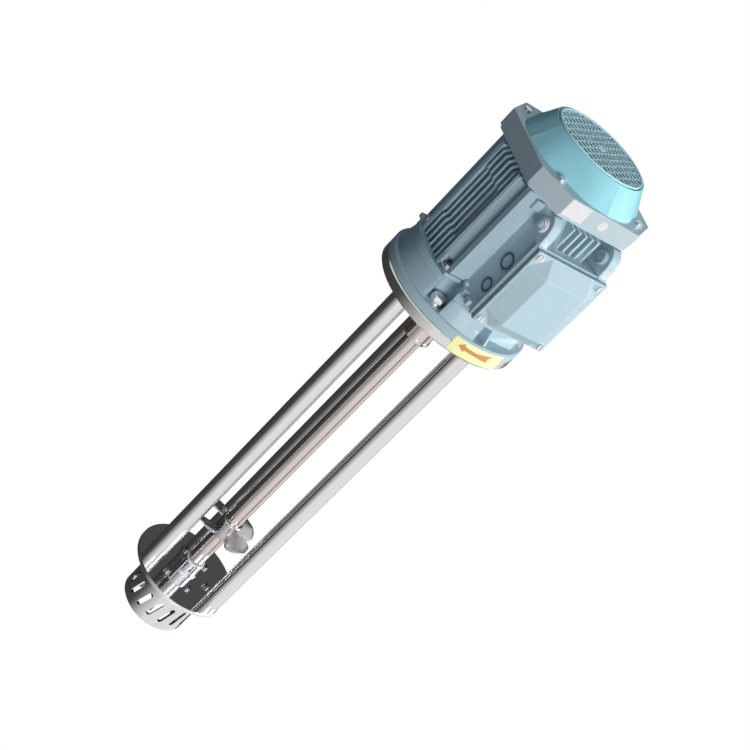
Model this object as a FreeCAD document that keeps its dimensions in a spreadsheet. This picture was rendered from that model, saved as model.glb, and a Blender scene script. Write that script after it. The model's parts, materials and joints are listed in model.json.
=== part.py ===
import FreeCAD, Part
import math
import os
import Sketcher

# High shear homogenizer mixer, lengths in millimetres, angles in degrees.
# The origin is the centre of the mounting plate's underside. +Z points up, to the motor's fan end.
# The terminal box faces +X.

V = FreeCAD.Vector
doc = FreeCAD.newDocument("HomogenizerMixer")

# Driving dimensions

SIZES = {
    # Mounting plate
    "plate_radius": 101,
    "plate_thick": 15,
    "plate_edge": 2,
    "stand_hole_radius": 4,
    "stand_hole_depth": 9,
    "seal_bore_radius": 26,
    "seal_lip_radius": 20,
    "seal_lip_thick": 2,
    "seal_height": 7,
    # Motor flange and its bolts
    "flange_radius": 101,
    "flange_thick": 12,
    "spigot_radius": 65,
    "spigot_height": 3.5,
    "spigot_clear": 0.1,
    "bolt_circle_radius": 82.5,
    "bolt_radius": 4.9,
    "bolt_hole_radius": 5.8,
    "tapped_clear": 0.1,
    "washer_radius": 10,
    "washer_thick": 2,
    "spring_washer_radius": 8.6,
    "spring_washer_thick": 2.6,
    "bolt_head_flats": 17,
    "bolt_head_height": 6.6,
    # Support rods
    "rod_radius": 12.5,
    "rod_circle_radius": 58,
    "rod_start_angle": 30,
    "rod_length": 534,
    "rod_screw_radius": 4.9,
    "rod_thread_depth": 24,
    "rod_screw_length": 20,
    "rod_head_radius": 8,
    "rod_head_height": 5.5,
    "rod_counterbore": 6,
    "button_head_radius": 8.75,
    "button_head_height": 5.5,
    # Lower disc
    "disc_radius": 74.5,
    "disc_thick": 6,
    "disc_edge": 0.8,
    "hub_radius": 15,
    "hub_height": 21,
    "bush_radius": 12,
    "bush_flange_radius": 14,
    "bush_flange_thick": 2,
    "running_clear": 0.05,
    # Stator head
    "stator_radius": 48,
    "stator_wall": 4.5,
    "stator_height": 70,
    "stator_top_thick": 8,
    "stator_lip_thick": 4,
    "stator_lip_radius": 38,
    "stator_edge": 1.5,
    "slot_count": 16,
    "slot_width": 6.5,
    "slot_length": 30,
    "slot_above_rim": 13,
    "slot_lean": 13,
    "slot_start_angle": -31.5,
    "stator_screw_count": 6,
    "stator_screw_circle": 35,
    "stator_screw_start": -68,
    "stator_screw_radius": 2.9,
    "stator_screw_head_radius": 5,
    "stator_screw_head_height": 3.5,
    "stator_screw_depth": 5,
    # Shear rotor
    "rotor_gap": 0.5,
    "rotor_hub_radius": 13,
    "rotor_web_thick": 4,
    "rotor_height": 42,
    "rotor_top_gap": 3,
    "vane_count": 6,
    "vane_thick": 5,
    "vane_lean": 24,
    "nut_radius": 11,
    "nut_height": 9,
    "nut_dome": 4,
    "pin_radius": 2,
    "pin_length": 24,
    # Mixer shaft
    "shaft_radius": 11.5,
    "journal_radius": 9,
    "rotor_seat_radius": 8,
    "thread_radius": 6,
    "journal_shoulder": 1,
    "socket_radius": 18,
    "socket_below": 57,
    "socket_above": 8,
    "socket_collar_radius": 18.8,
    "socket_collar_height": 5,
    "socket_fit": 0.02,
    # Propeller
    "prop_height": 28,
    "prop_hub_radius": 15.5,
    "prop_centre": -441,
    "prop_radius": 42,
    "blade_count": 4,
    "blade_start_angle": 20,
    "blade_span_angle": 58,
    "blade_rise": 24,
    "blade_thick": 2.6,
    "prop_screw_radius": 3,
    # Motor shaft and bearings
    "extension_radius": 12,
    "extension_length": 50,
    "key_width": 8,
    "key_height": 7,
    "key_length": 32,
    "key_depth": 4,
    "front_seat_radius": 12.5,
    "front_ring_radius": 26,
    "front_bearing_width": 15,
    "front_bearing_base": 27,
    "rear_seat_radius": 10,
    "rear_ring_radius": 23.5,
    "rear_bearing_width": 14,
    "rear_bearing_base": 205,
    "race_thick": 3.6,
    "ball_radius": 3.4,
    "ball_clear": 0.3,
    "ball_count": 8,
    "cage_thick": 1.2,
    "shaft_body_radius": 16,
    "shaft_top": 250,
    "fan_seat_radius": 9,
    "motor_seal_radius": 20,
    "motor_seal_height": 7,
    # Front end shield
    "bolt_turn": 41,
    "ring_radius": 93,
    "ring_base": 50,
    "shield_bolt_pocket": 13,
    "recess_floor": 78,
    "recess_start": -17,
    "recess_end": 56,
    "recess_top": 48,
    "gusset_reach": 97,
    "gusset_thick": 4,
    "hollow_step": 5,
    "hollow_radius": 52,
    "hollow_floor": 38,
    "hub_wall": 7,
    "shield_screw_side": 42,
    "shield_screw_front": 76,
    "shield_screw_radius": 2.9,
    "shield_screw_head_radius": 5,
    "shield_screw_head_height": 5,
    "shield_screw_depth": 14,
    "shield_lug_height": 6,
    "seat_clear": 0.02,
    # Stickers
    "sticker_thick": 0.3,
    "sticker_start": -22,
    "sticker_span": 44,
    "sticker_margin": 3,
    # Rotor core, stator core and windings
    "core_base": 76,
    "core_length": 104,
    "rotor_core_radius": 37,
    "end_ring_height": 9,
    "end_ring_width": 10,
    "air_gap": 0.5,
    "core_radius": 65,
    "tooth_depth": 14,
    "winding_height": 17,
    # Frame
    "frame_base": 62,
    "frame_top": 208,
    "frame_radius": 71,
    "fin_reach": 84,
    "fin_thick": 3.4,
    "fin_pitch": 10,
    "rib_thick": 8,
    "rib_offset": 30,
    "fin_step": 2.4,
    "fin_step_low": 97,
    "fin_step_high": 171,
    "fin_run_out": 9,
    "corner_rib_reach": 91,
    "corner_rib_width": 17,
    "frame_screw_circle": 77.5,
    "frame_screw_radius": 2.9,
    "frame_screw_depth": 16,
    # Terminal box on the frame
    "box_half_width": 55,
    "box_root": 45,
    "cheek_thick": 13,
    "lug_wide": 9,
    "lug_sunk": 5,
    "lug_line": 62,
    "lug_height": 190,
    "lug_proud": 4,
    "box_face": 105.5,
    "box_base": 62,
    "box_top": 173,
    "box_wall": 6,
    "box_floor": 78,
    "shoulder_edge": 59,
    "shoulder_thick": 9,
    "shoulder_reach": 80.7,
    "shoulder_base": 71,
    "pocket_fin_reach": 88,
    "knockout_large": 10,
    "knockout_small": 8,
    "knockout_groove": 0.8,
    "knockout_large_height": 130,
    "knockout_small_height": 95.5,
    "knockout_line": 86.5,
    "side_boss_radius": 7.5,
    "side_boss_height": 188.5,
    "side_boss_line": 84,
    "side_boss_proud": 4,
    # Lid
    "gasket_thick": 1.5,
    "lid_rim_thick": 4,
    "lid_height": 14,
    "lid_bevel": 26,
    "lid_bevel_end": 21,
    "lid_wall": 3,
    "lid_screw_inset": 6.5,
    "lid_screw_radius": 2.4,
    "lid_screw_head_radius": 4.4,
    "lid_screw_head_height": 3,
    "lid_ear": 26,
    # Terminal block
    "block_length": 70,
    "block_width": 46,
    "block_height": 8,
    "stud_radius": 2.5,
    "stud_height": 16,
    "stud_pitch_long": 20,
    "stud_pitch_wide": 20,
    "stud_nut_flats": 8,
    "stud_nut_height": 4,
    # Rear end shield
    "shield_thick": 8,
    "shield_gap": 0.6,
    "shield_hub_radius": 31,
    "shield_column_radius": 6,
    # Fan cover
    "cover_side": 88,
    "cover_corner": 100,
    "cover_base": 212,
    "cover_band_top": 236,
    "cover_wall": 2.5,
    "skirt_side": 84,
    "skirt_edge": 85.5,
    "skirt_corner": 82,
    "skirt_edge_angle": 23,
    "cover_crown": 268,
    "cover_crown_radius": 65,
    "cover_lug_floor": 2.5,
    "cover_screw_circle": 90,
    "cover_screw_radius": 2.4,
    "cover_screw_head_radius": 4.5,
    "cover_screw_head_height": 4,
    # Air grille
    "grille_radius": 62.2,
    "grille_thick": 2.5,
    "grille_rim": 3,
    "grille_pitch": 7,
    "grille_bar": 2.4,
    "grille_boss_radius": 5,
    "grille_sink": 1.2,
    # Cooling fan
    "fan_base": 226,
    "fan_hub_radius": 15,
    "fan_hub_height": 20,
    "fan_plate_thick": 2.5,
    "fan_radius": 66,
    "fan_blade_count": 8,
    "fan_blade_thick": 2,
    "fan_blade_inner": 26,
    "fan_blade_height": 16,
    "ring_groove": 1.3,
    "ring_width": 2.5,
}

sheet = doc.addObject("Spreadsheet::Sheet", "Sizes")
for row, (alias, number) in enumerate(SIZES.items(), start=1):
    sheet.set(f"A{row}", alias.replace("_", " "))
    sheet.set(f"B{row}", str(number))
    sheet.setAlias(f"B{row}", alias)
doc.recompute()

# Every sub-part that is written to a file, by its label
sub_parts = []


def bound(text):
    """Puts the sheet's name before each driving dimension named in an expression."""
    words = []
    word = ""
    for letter in text + " ":
        if letter.isalnum() or letter == "_":
            word += letter
            continue
        words.append(f"Sizes.{word}" if word in SIZES else word)
        words.append(letter)
        word = ""
    return "".join(words).strip()


def value(text):
    """The number that an expression of driving dimensions gives."""
    return float(sheet.evalExpression(bound(str(text)).replace("Sizes.", "")))


def place(item, x="0", y="0", z="0", turn=None, axis=V(0, 0, 1)):
    """Sets an object's Placement, each coordinate from its own expression."""
    if turn is not None:
        item.Placement = FreeCAD.Placement(V(0, 0, 0), FreeCAD.Rotation(axis, value(turn)))
    for name, text in (("x", x), ("y", y), ("z", z)):
        item.setExpression(f"Placement.Base.{name}", bound(str(text)))
    if turn is not None:
        item.setExpression("Placement.Rotation.Angle", f"({bound(str(turn))}) * 1 deg")
    return item


def cylinder(radius, height, x="0", y="0", z="0", turn=None, axis=V(0, 0, 1)):
    item = doc.addObject("Part::Cylinder", "Cylinder")
    item.setExpression("Radius", bound(str(radius)))
    item.setExpression("Height", bound(str(height)))
    return place(item, x, y, z, turn, axis)


def cone(radius_low, radius_high, height, x="0", y="0", z="0"):
    item = doc.addObject("Part::Cone", "Cone")
    item.setExpression("Radius1", bound(str(radius_low)))
    item.setExpression("Radius2", bound(str(radius_high)))
    item.setExpression("Height", bound(str(height)))
    return place(item, x, y, z)


def box(length, width, height, x="0", y="0", z="0", turn=None, axis=V(0, 0, 1)):
    item = doc.addObject("Part::Box", "Box")
    item.setExpression("Length", bound(str(length)))
    item.setExpression("Width", bound(str(width)))
    item.setExpression("Height", bound(str(height)))
    return place(item, x, y, z, turn, axis)


def prism(sides, radius, height, x="0", y="0", z="0"):
    item = doc.addObject("Part::Prism", "Prism")
    item.Polygon = sides
    item.setExpression("Circumradius", bound(str(radius)))
    item.setExpression("Height", bound(str(height)))
    return place(item, x, y, z)


def fused(items):
    if len(items) == 1:
        return items[0]
    item = doc.addObject("Part::MultiFuse", "Fusion")
    item.Shapes = items
    return item


def common(first, second):
    item = doc.addObject("Part::Common", "Common")
    item.Base = first
    item.Tool = second
    return item


def cut(base, tools):
    item = doc.addObject("Part::Cut", "Cut")
    item.Base = base
    item.Tool = fused(tools)
    return item


def group(items):
    """Identical fasteners that share one node stay separate solids in a compound."""
    item = doc.addObject("Part::Compound", "Group")
    item.Links = items
    return item


def shape_object(shape):
    item = doc.addObject("Part::Feature", "Shape")
    item.Shape = shape
    item.Placement = FreeCAD.Placement()
    return item


def keep(item, label):
    """Names a finished sub-part; its label names its file."""
    item.Label = label
    sub_parts.append(item)
    return item


def origin_feature(body, role):
    return [feature for feature in body.Origin.OriginFeatures if feature.Role == role][0]


def outline_sketch(body, role, points, offset=None):
    """A closed outline of straight lines whose every corner is bound to the sheet."""
    sketch = body.newObject("Sketcher::SketchObject", "Outline")
    sketch.AttachmentSupport = [(origin_feature(body, role), "")]
    sketch.MapMode = "FlatFace"
    if offset is not None:
        sketch.setExpression("AttachmentOffset.Base.z", bound(str(offset)))
    places = [(value(across), value(along)) for across, along in points]
    last = len(points)
    for number in range(last):
        start = places[number]
        end = places[(number + 1) % last]
        sketch.addGeometry(Part.LineSegment(V(start[0], start[1], 0), V(end[0], end[1], 0)), False)
    for number in range(last):
        sketch.addConstraint(Sketcher.Constraint("Coincident", number, 2, (number + 1) % last, 1))
    for number in range(last):
        for kind, part in (("DistanceX", 0), ("DistanceY", 1)):
            index = sketch.addConstraint(Sketcher.Constraint(kind, number, 1, places[number][part]))
            sketch.setExpression(f"Constraints[{index}]", bound(str(points[number][part])))
    return sketch


def turned(points):
    """A body turned about Z from an outline of (radius, height) corners."""
    body = doc.addObject("PartDesign::Body", "Body")
    sketch = outline_sketch(body, "XZ_Plane", points)
    spin = body.newObject("PartDesign::Revolution", "Turned")
    spin.Profile = sketch
    spin.ReferenceAxis = (sketch, ["V_Axis"])
    spin.Angle = 360
    return body


def extruded(points, base, height):
    """A body raised from an outline of (x, y) corners."""
    body = doc.addObject("PartDesign::Body", "Body")
    sketch = outline_sketch(body, "XY_Plane", points, base)
    pad = body.newObject("PartDesign::Pad", "Raised")
    pad.Profile = sketch
    pad.setExpression("Length", bound(str(height)))
    return body


def around(circle, start, count):
    """Expressions for the places of a ring of equal things."""
    for number in range(count):
        angle = f"({start} + {number} * 360 / {count})"
        yield f"{circle} * cos({angle})", f"{circle} * sin({angle})", angle


# Lower disc level and levels below it, as expressions
DISC_TOP = "(0 - rod_length)"
DISC_BASE = f"({DISC_TOP} - disc_thick)"
RIM_BASE = f"({DISC_BASE} - stator_height)"
FLANGE_TOP = "(plate_thick + flange_thick)"
BOLTS = 4
BOLT_START = "bolt_turn"
RODS = 3


def mounting_plate():
    """Stainless plate that the motor stands on; the rods hang from it."""
    plate = turned([
        ("seal_lip_radius", "0"),
        ("plate_radius - plate_edge", "0"),
        ("plate_radius", "plate_edge"),
        ("plate_radius", "plate_thick - plate_edge"),
        ("plate_radius - plate_edge", "plate_thick"),
        ("spigot_radius + spigot_clear", "plate_thick"),
        ("spigot_radius + spigot_clear", "plate_thick - spigot_height - 0.5"),
        ("seal_bore_radius", "plate_thick - spigot_height - 0.5"),
        ("seal_bore_radius", "seal_lip_thick"),
        ("seal_lip_radius", "seal_lip_thick"),
    ])
    holes = []
    for x, y, angle in around("bolt_circle_radius", BOLT_START, BOLTS):
        holes.append(cylinder("bolt_radius + tapped_clear", "plate_thick", x, y))
    for x, y, angle in around("bolt_circle_radius", "0", BOLTS):
        holes.append(cylinder("stand_hole_radius", "stand_hole_depth", x, y))
    recess = "(plate_thick - spigot_height - 0.5)"
    for x, y, angle in around("rod_circle_radius", "rod_start_angle", RODS):
        holes.append(cylinder("rod_screw_radius + tapped_clear", "plate_thick", x, y))
        holes.append(cylinder("rod_head_radius + 0.4", "plate_thick", x, y, f"{recess} - rod_counterbore"))
    keep(cut(plate, holes), "mounting_plate")


def shaft_seal():
    """Lip seal in the plate, running on the socket of the mixer shaft."""
    seal = turned([
        ("seal_bore_radius", "seal_lip_thick"),
        ("seal_bore_radius", "seal_lip_thick + seal_height"),
        ("socket_radius + 3", "seal_lip_thick + seal_height"),
        ("socket_radius + running_clear", "seal_lip_thick + seal_height * 0.55"),
        ("socket_radius + running_clear", "seal_lip_thick + seal_height * 0.4"),
        ("socket_radius + 2.5", "seal_lip_thick"),
    ])
    keep(seal, "shaft_seal")


def support_rods():
    """Three rods that carry the work head, tapped at both ends."""
    for number, (x, y, angle) in enumerate(around("rod_circle_radius", "rod_start_angle", RODS), start=1):
        rod = cylinder("rod_radius", "rod_length", x, y, DISC_TOP)
        bore = "rod_screw_radius + tapped_clear"
        top = cylinder(bore, "rod_thread_depth", x, y, "0 - rod_thread_depth")
        base = cylinder(bore, "rod_thread_depth", x, y, DISC_TOP)
        keep(cut(rod, [top, base]), f"support_rod_{number}")


def rod_screws():
    """Cap screws through the plate and button screws through the disc, one of each for a rod."""
    caps = []
    buttons = []
    recess = "(plate_thick - spigot_height - 0.5 - rod_counterbore)"
    for x, y, angle in around("rod_circle_radius", "rod_start_angle", RODS):
        shank = cylinder("rod_screw_radius", f"rod_screw_length + {recess}", x, y, "0 - rod_screw_length")
        head = cylinder("rod_head_radius", "rod_head_height", x, y, recess)
        socket = prism(6, "rod_head_radius * 0.55", "rod_head_height * 0.6", x, y, f"{recess} + rod_head_height * 0.5")
        caps.append(cut(fused([shank, head]), [socket]))
        shank = cylinder("rod_screw_radius", "rod_screw_length + disc_thick", x, y, DISC_BASE)
        head = cone("button_head_radius * 0.6", "button_head_radius", "button_head_height", x, y,
                    f"{DISC_BASE} - button_head_height")
        socket = prism(6, "button_head_radius * 0.35", "button_head_height * 0.6", x, y,
                       f"{DISC_BASE} - button_head_height")
        buttons.append(cut(fused([shank, head]), [socket]))
    keep(group(caps), "rod_top_screws")
    keep(group(buttons), "rod_bottom_screws")


def lower_disc():
    """Disc that ties the rods together, with the hub that holds the lower bushing."""
    disc = turned([
        ("bush_radius", DISC_BASE),
        ("disc_radius - disc_edge", DISC_BASE),
        ("disc_radius", f"{DISC_BASE} + disc_edge"),
        ("disc_radius", f"{DISC_TOP} - disc_edge"),
        ("disc_radius - disc_edge", DISC_TOP),
        ("hub_radius + 2", DISC_TOP),
        ("hub_radius", f"{DISC_TOP} + 2"),
        ("hub_radius", f"{DISC_TOP} + hub_height - 1"),
        ("hub_radius - 1", f"{DISC_TOP} + hub_height"),
        ("bush_radius", f"{DISC_TOP} + hub_height"),
    ])
    holes = []
    for x, y, angle in around("rod_circle_radius", "rod_start_angle", RODS):
        holes.append(cylinder("rod_screw_radius + tapped_clear", "disc_thick", x, y, DISC_BASE))
    for x, y, angle in around("stator_screw_circle", "stator_screw_start", SIZES["stator_screw_count"]):
        holes.append(cylinder("stator_screw_radius + tapped_clear", "disc_thick", x, y, DISC_BASE))
    keep(cut(disc, holes), "lower_disc")


def lower_bushing():
    """Plain bushing pressed into the hub from above the disc."""
    bush = turned([
        ("journal_radius + running_clear", DISC_BASE),
        ("bush_radius", DISC_BASE),
        ("bush_radius", f"{DISC_TOP} + hub_height"),
        ("bush_flange_radius", f"{DISC_TOP} + hub_height"),
        ("bush_flange_radius", f"{DISC_TOP} + hub_height + bush_flange_thick"),
        ("journal_radius + running_clear", f"{DISC_TOP} + hub_height + bush_flange_thick"),
    ])
    keep(bush, "lower_bushing")


def stator_head():
    """Slotted cup under the disc: the skill of the work head is in its ring of leaning slots."""
    body = turned([
        ("bush_radius", f"{DISC_BASE} - stator_top_thick"),
        ("stator_radius - stator_wall", f"{DISC_BASE} - stator_top_thick"),
        ("stator_radius - stator_wall", f"{RIM_BASE} + stator_lip_thick"),
        ("stator_lip_radius", f"{RIM_BASE} + stator_lip_thick"),
        ("stator_lip_radius", RIM_BASE),
        ("stator_radius - stator_edge", RIM_BASE),
        ("stator_radius", f"{RIM_BASE} + stator_edge"),
        ("stator_radius", DISC_BASE),
        ("bush_radius", DISC_BASE),
    ])
    middle = f"({RIM_BASE} + slot_above_rim + slot_length / 2)"
    half = value("slot_length / 2 - slot_width / 2")
    width = value("slot_width / 2")
    sketch = body.newObject("Sketcher::SketchObject", "Slot")
    sketch.AttachmentSupport = [(origin_feature(body, "YZ_Plane"), "")]
    sketch.MapMode = "FlatFace"
    lean = value("slot_lean")
    level = value(middle)
    along = V(math.sin(math.radians(lean)), math.cos(math.radians(lean)), 0)
    across = V(along.y, -along.x, 0)
    centre = V(0, level, 0)
    top = centre + along * half
    low = centre - along * half
    sketch.addGeometry(Part.LineSegment(low + across * width, top + across * width), False)
    sketch.addGeometry(Part.Arc(top + across * width, top + along * width, top - across * width), False)
    sketch.addGeometry(Part.LineSegment(top - across * width, low - across * width), False)
    sketch.addGeometry(Part.Arc(low - across * width, low - along * width, low + across * width), False)
    for first, second in ((0, 1), (1, 2), (2, 3), (3, 0)):
        sketch.addConstraint(Sketcher.Constraint("Tangent", first, 2, second, 1))
    centres = (
        (1, f"(slot_length - slot_width) / 2 * sin(slot_lean)", f"{middle} + (slot_length - slot_width) / 2 * cos(slot_lean)"),
        (3, f"0 - (slot_length - slot_width) / 2 * sin(slot_lean)", f"{middle} - (slot_length - slot_width) / 2 * cos(slot_lean)"),
    )
    for arc, side, height in centres:
        for kind, text in (("DistanceX", side), ("DistanceY", height)):
            index = sketch.addConstraint(Sketcher.Constraint(kind, arc, 3, value(text)))
            sketch.setExpression(f"Constraints[{index}]", bound(text))
        index = sketch.addConstraint(Sketcher.Constraint("Radius", arc, width))
        sketch.setExpression(f"Constraints[{index}]", bound("slot_width / 2"))
    doc.recompute()
    before = body.Shape.Volume
    pocket = body.newObject("PartDesign::Pocket", "SlotCut")
    pocket.Profile = sketch
    pocket.Type = "Length"
    pocket.setExpression("Length", bound("stator_radius + 1"))
    pocket.Reversed = True
    doc.recompute()
    if body.Shape.Volume >= before:
        pocket.Reversed = False
    doc.recompute()
    ring = body.newObject("PartDesign::PolarPattern", "SlotRing")
    ring.Originals = [pocket]
    ring.Axis = (origin_feature(body, "Z_Axis"), [""])
    ring.Angle = 360
    ring.setExpression("Occurrences", bound("slot_count"))
    body.Tip = ring
    place(body, turn="slot_start_angle")
    holes = []
    for x, y, angle in around("stator_screw_circle", "stator_screw_start", SIZES["stator_screw_count"]):
        holes.append(cylinder("stator_screw_radius + tapped_clear", "stator_top_thick - 1", x, y,
                              f"{DISC_BASE} - stator_top_thick + 1"))
    keep(cut(body, holes), "stator_head")


def stator_screws():
    screws = []
    for x, y, angle in around("stator_screw_circle", "stator_screw_start", SIZES["stator_screw_count"]):
        shank = cylinder("stator_screw_radius", "stator_screw_depth + disc_thick", x, y,
                         f"{DISC_BASE} - stator_screw_depth")
        head = cylinder("stator_screw_head_radius", "stator_screw_head_height", x, y, DISC_TOP)
        socket = prism(6, "stator_screw_head_radius * 0.5", "stator_screw_head_height * 0.7", x, y,
                       f"{DISC_TOP} + stator_screw_head_height * 0.4")
        screws.append(cut(fused([shank, head]), [socket]))
    keep(group(screws), "stator_screws")


ROTOR_TOP = f"({DISC_BASE} - stator_top_thick - rotor_top_gap)"
ROTOR_BASE = f"({ROTOR_TOP} - rotor_height)"


def shear_rotor():
    """Rotor inside the slotted cup: a hub, a web and leaning vanes that sweep close to the wall."""
    tip = "(stator_radius - stator_wall - rotor_gap)"
    hub = turned([
        ("rotor_seat_radius", ROTOR_BASE),
        ("rotor_hub_radius", ROTOR_BASE),
        ("rotor_hub_radius", f"{ROTOR_TOP} - rotor_web_thick"),
        (tip, f"{ROTOR_TOP} - rotor_web_thick"),
        (tip, ROTOR_TOP),
        ("rotor_seat_radius", ROTOR_TOP),
    ])
    vanes = []
    for x, y, angle in around("0", "0", SIZES["vane_count"]):
        vane = box(f"{tip} + 4", "vane_thick", "rotor_height - 1")
        angle_text = f"{angle} + vane_lean"
        place(vane, f"rotor_hub_radius * 0.6 * cos({angle})", f"rotor_hub_radius * 0.6 * sin({angle})",
              ROTOR_BASE, angle_text)
        vanes.append(vane)
    sweep = cylinder(tip, "rotor_height", z=ROTOR_BASE)
    bore = cylinder("rotor_seat_radius", "rotor_height", z=ROTOR_BASE)
    trimmed = cut(common(fused(vanes), sweep), [bore])
    slot = cylinder("pin_radius", "pin_length", x="0 - pin_length / 2", z=f"{ROTOR_TOP} - pin_radius * 0.9",
                    turn="90", axis=V(0, 1, 0))
    keep(cut(fused([hub, trimmed]), [slot]), "shear_rotor")
    pin = cylinder("pin_radius - 0.02", "pin_length - 0.4", x="0 - pin_length / 2 + 0.2",
                   z=f"{ROTOR_TOP} - pin_radius * 0.9", turn="90", axis=V(0, 1, 0))
    keep(pin, "rotor_drive_pin")


def rotor_nut():
    body = prism(6, "nut_radius", "nut_height", z=f"{ROTOR_BASE} - nut_height")
    dome = cone("nut_radius * 0.45", "nut_radius * 0.8", "nut_dome", z=f"{ROTOR_BASE} - nut_height - nut_dome")
    bore = cylinder("thread_radius", "nut_height", z=f"{ROTOR_BASE} - nut_height")
    keep(cut(fused([body, dome]), [bore]), "rotor_nut")


SOCKET_BASE = "(0 - socket_below)"
BORE_BASE = "(plate_thick - extension_length - 2)"


def mixer_shaft():
    """Long shaft whose upper end is bored as a socket for the motor shaft."""
    bush_top = f"({DISC_TOP} + hub_height + bush_flange_thick)"
    shaft = turned([
        ("0", f"{ROTOR_BASE} - nut_height + 1"),
        ("thread_radius", f"{ROTOR_BASE} - nut_height + 1"),
        ("thread_radius", ROTOR_BASE),
        ("rotor_seat_radius", ROTOR_BASE),
        ("rotor_seat_radius", ROTOR_TOP),
        ("journal_radius", ROTOR_TOP),
        ("journal_radius", f"{bush_top} + journal_shoulder"),
        ("shaft_radius", f"{bush_top} + journal_shoulder"),
        ("shaft_radius", SOCKET_BASE),
        ("socket_collar_radius - 1", SOCKET_BASE),
        ("socket_collar_radius", f"{SOCKET_BASE} + 1"),
        ("socket_collar_radius", f"{SOCKET_BASE} + socket_collar_height"),
        ("socket_radius", f"{SOCKET_BASE} + socket_collar_height"),
        ("socket_radius", "socket_above"),
        ("extension_radius + socket_fit", "socket_above"),
        ("extension_radius + socket_fit", BORE_BASE),
        ("0", BORE_BASE),
    ])
    keyway = box("extension_radius + key_height - key_depth + 0.2", "key_width", f"socket_above - {BORE_BASE}",
                 y="0 - key_width / 2", z=BORE_BASE)
    pin_hole = cylinder("pin_radius", "pin_length", x="0 - pin_length / 2", z=f"{ROTOR_TOP} - pin_radius * 0.9",
                        turn="90", axis=V(0, 1, 0))
    screw_holes = []
    for level in SOCKET_SCREW_LEVELS:
        screw_holes.append(cylinder("prop_screw_radius", "socket_radius + 1", z=level, turn="90", axis=V(-1, 0, 0)))
    keep(cut(shaft, [keyway, pin_hole] + screw_holes), "mixer_shaft")


SOCKET_SCREW_LEVELS = ("0 - 16", "0 - 28")


def socket_screws():
    """Two set screws that hold the socket on the motor shaft."""
    screws = []
    for level in SOCKET_SCREW_LEVELS:
        body = cylinder("prop_screw_radius - 0.05", "socket_radius - extension_radius - 0.8",
                        y="extension_radius + socket_fit + 0.1", z=level, turn="90", axis=V(-1, 0, 0))
        hexagon = prism(6, "prop_screw_radius * 0.55", "3")
        place(hexagon, y="socket_radius - 3.2", z=level, turn="90", axis=V(-1, 0, 0))
        screws.append(cut(body, [hexagon]))
    keep(group(screws), "socket_set_screws")


def propeller():
    """Axial propeller on the shaft: a hub with twisted blades."""
    radius = value("prop_radius")
    root = value("prop_hub_radius") - 1.5
    bore = value("shaft_radius") + 0.02
    centre = value("prop_centre")
    height = value("prop_height")
    rise = value("blade_rise")
    thick = value("blade_thick")
    span = math.radians(value("blade_span_angle"))
    hub = Part.makeCylinder(value("prop_hub_radius"), height, V(0, 0, centre - height / 2))
    edges = [edge for edge in hub.Edges if len(edge.Vertexes) == 1]
    hub = hub.makeChamfer(1.5, edges)
    solid = hub
    stations = 9
    for number in range(SIZES["blade_count"]):
        start = math.radians(value("blade_start_angle") + number * 360 / SIZES["blade_count"])
        sections = []
        for station in range(stations):
            share = station / (stations - 1)
            distance = root + (radius - root) * share
            half = span / 2 * math.sqrt(1 - (share * 0.985) ** 4) * (0.62 + 0.38 * share)
            fall = rise / 2 * half / (span / 2)
            points = []
            for side, lift in ((-1, -1), (1, -1), (1, 1), (-1, 1)):
                turn = start + side * half
                points.append(V(distance * math.cos(turn), distance * math.sin(turn),
                                centre - side * fall + lift * thick / 2))
            sections.append(Part.makePolygon(points + points[:1]))
        solid = solid.fuse(Part.makeLoft(sections, True, False))
    sweep = Part.makeCylinder(radius, height + 20, V(0, 0, centre - height / 2 - 10))
    solid = solid.common(sweep)
    solid = solid.cut(Part.makeCylinder(bore, height + 2, V(0, 0, centre - height / 2 - 1)))
    screw = Part.makeCylinder(value("prop_screw_radius"), value("prop_hub_radius"), V(0, 0, centre + height * 0.34),
                              V(math.cos(math.radians(PROP_SCREW_ANGLE)), math.sin(math.radians(PROP_SCREW_ANGLE)), 0))
    keep(shape_object(solid.cut(screw).removeSplitter()), "propeller")
    body = cylinder("prop_screw_radius - 0.05", "prop_hub_radius - shaft_radius - 0.6",
                    x=f"(shaft_radius + 0.2) * cos({PROP_SCREW_ANGLE})",
                    y=f"(shaft_radius + 0.2) * sin({PROP_SCREW_ANGLE})",
                    z="prop_centre + prop_height * 0.34", turn="90",
                    axis=V(-math.sin(math.radians(PROP_SCREW_ANGLE)), math.cos(math.radians(PROP_SCREW_ANGLE)), 0))
    keep(body, "propeller_set_screw")


PROP_SCREW_ANGLE = 49

CORNERS = ("45", "135", "225", "315")
SHIELD_SCREWS = (("", ""), ("0 - ", ""), ("", "0 - "), ("0 - ", "0 - "))


def lofted(role, first, first_level, second, second_level):
    """A body blended straight between two outlines with the same number of corners."""
    body = doc.addObject("PartDesign::Body", "Body")
    low = outline_sketch(body, role, first, first_level)
    high = outline_sketch(body, role, second, second_level)
    blend = body.newObject("PartDesign::AdditiveLoft", "Blend")
    blend.Profile = low
    blend.Sections = [(high, [""])]
    blend.Ruled = True
    return body


def cut_square(side, corner):
    """Corners of a square of half width side whose corners are cut at the distance corner."""
    near = f"({corner} * sqrt(2) - ({side}))"
    far = f"({side})"
    return [
        (far, f"0 - {near}"), (far, near), (near, far), (f"0 - {near}", far),
        (f"0 - {far}", near), (f"0 - {far}", f"0 - {near}"), (f"0 - {near}", f"0 - {far}"), (near, f"0 - {far}"),
    ]


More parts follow.
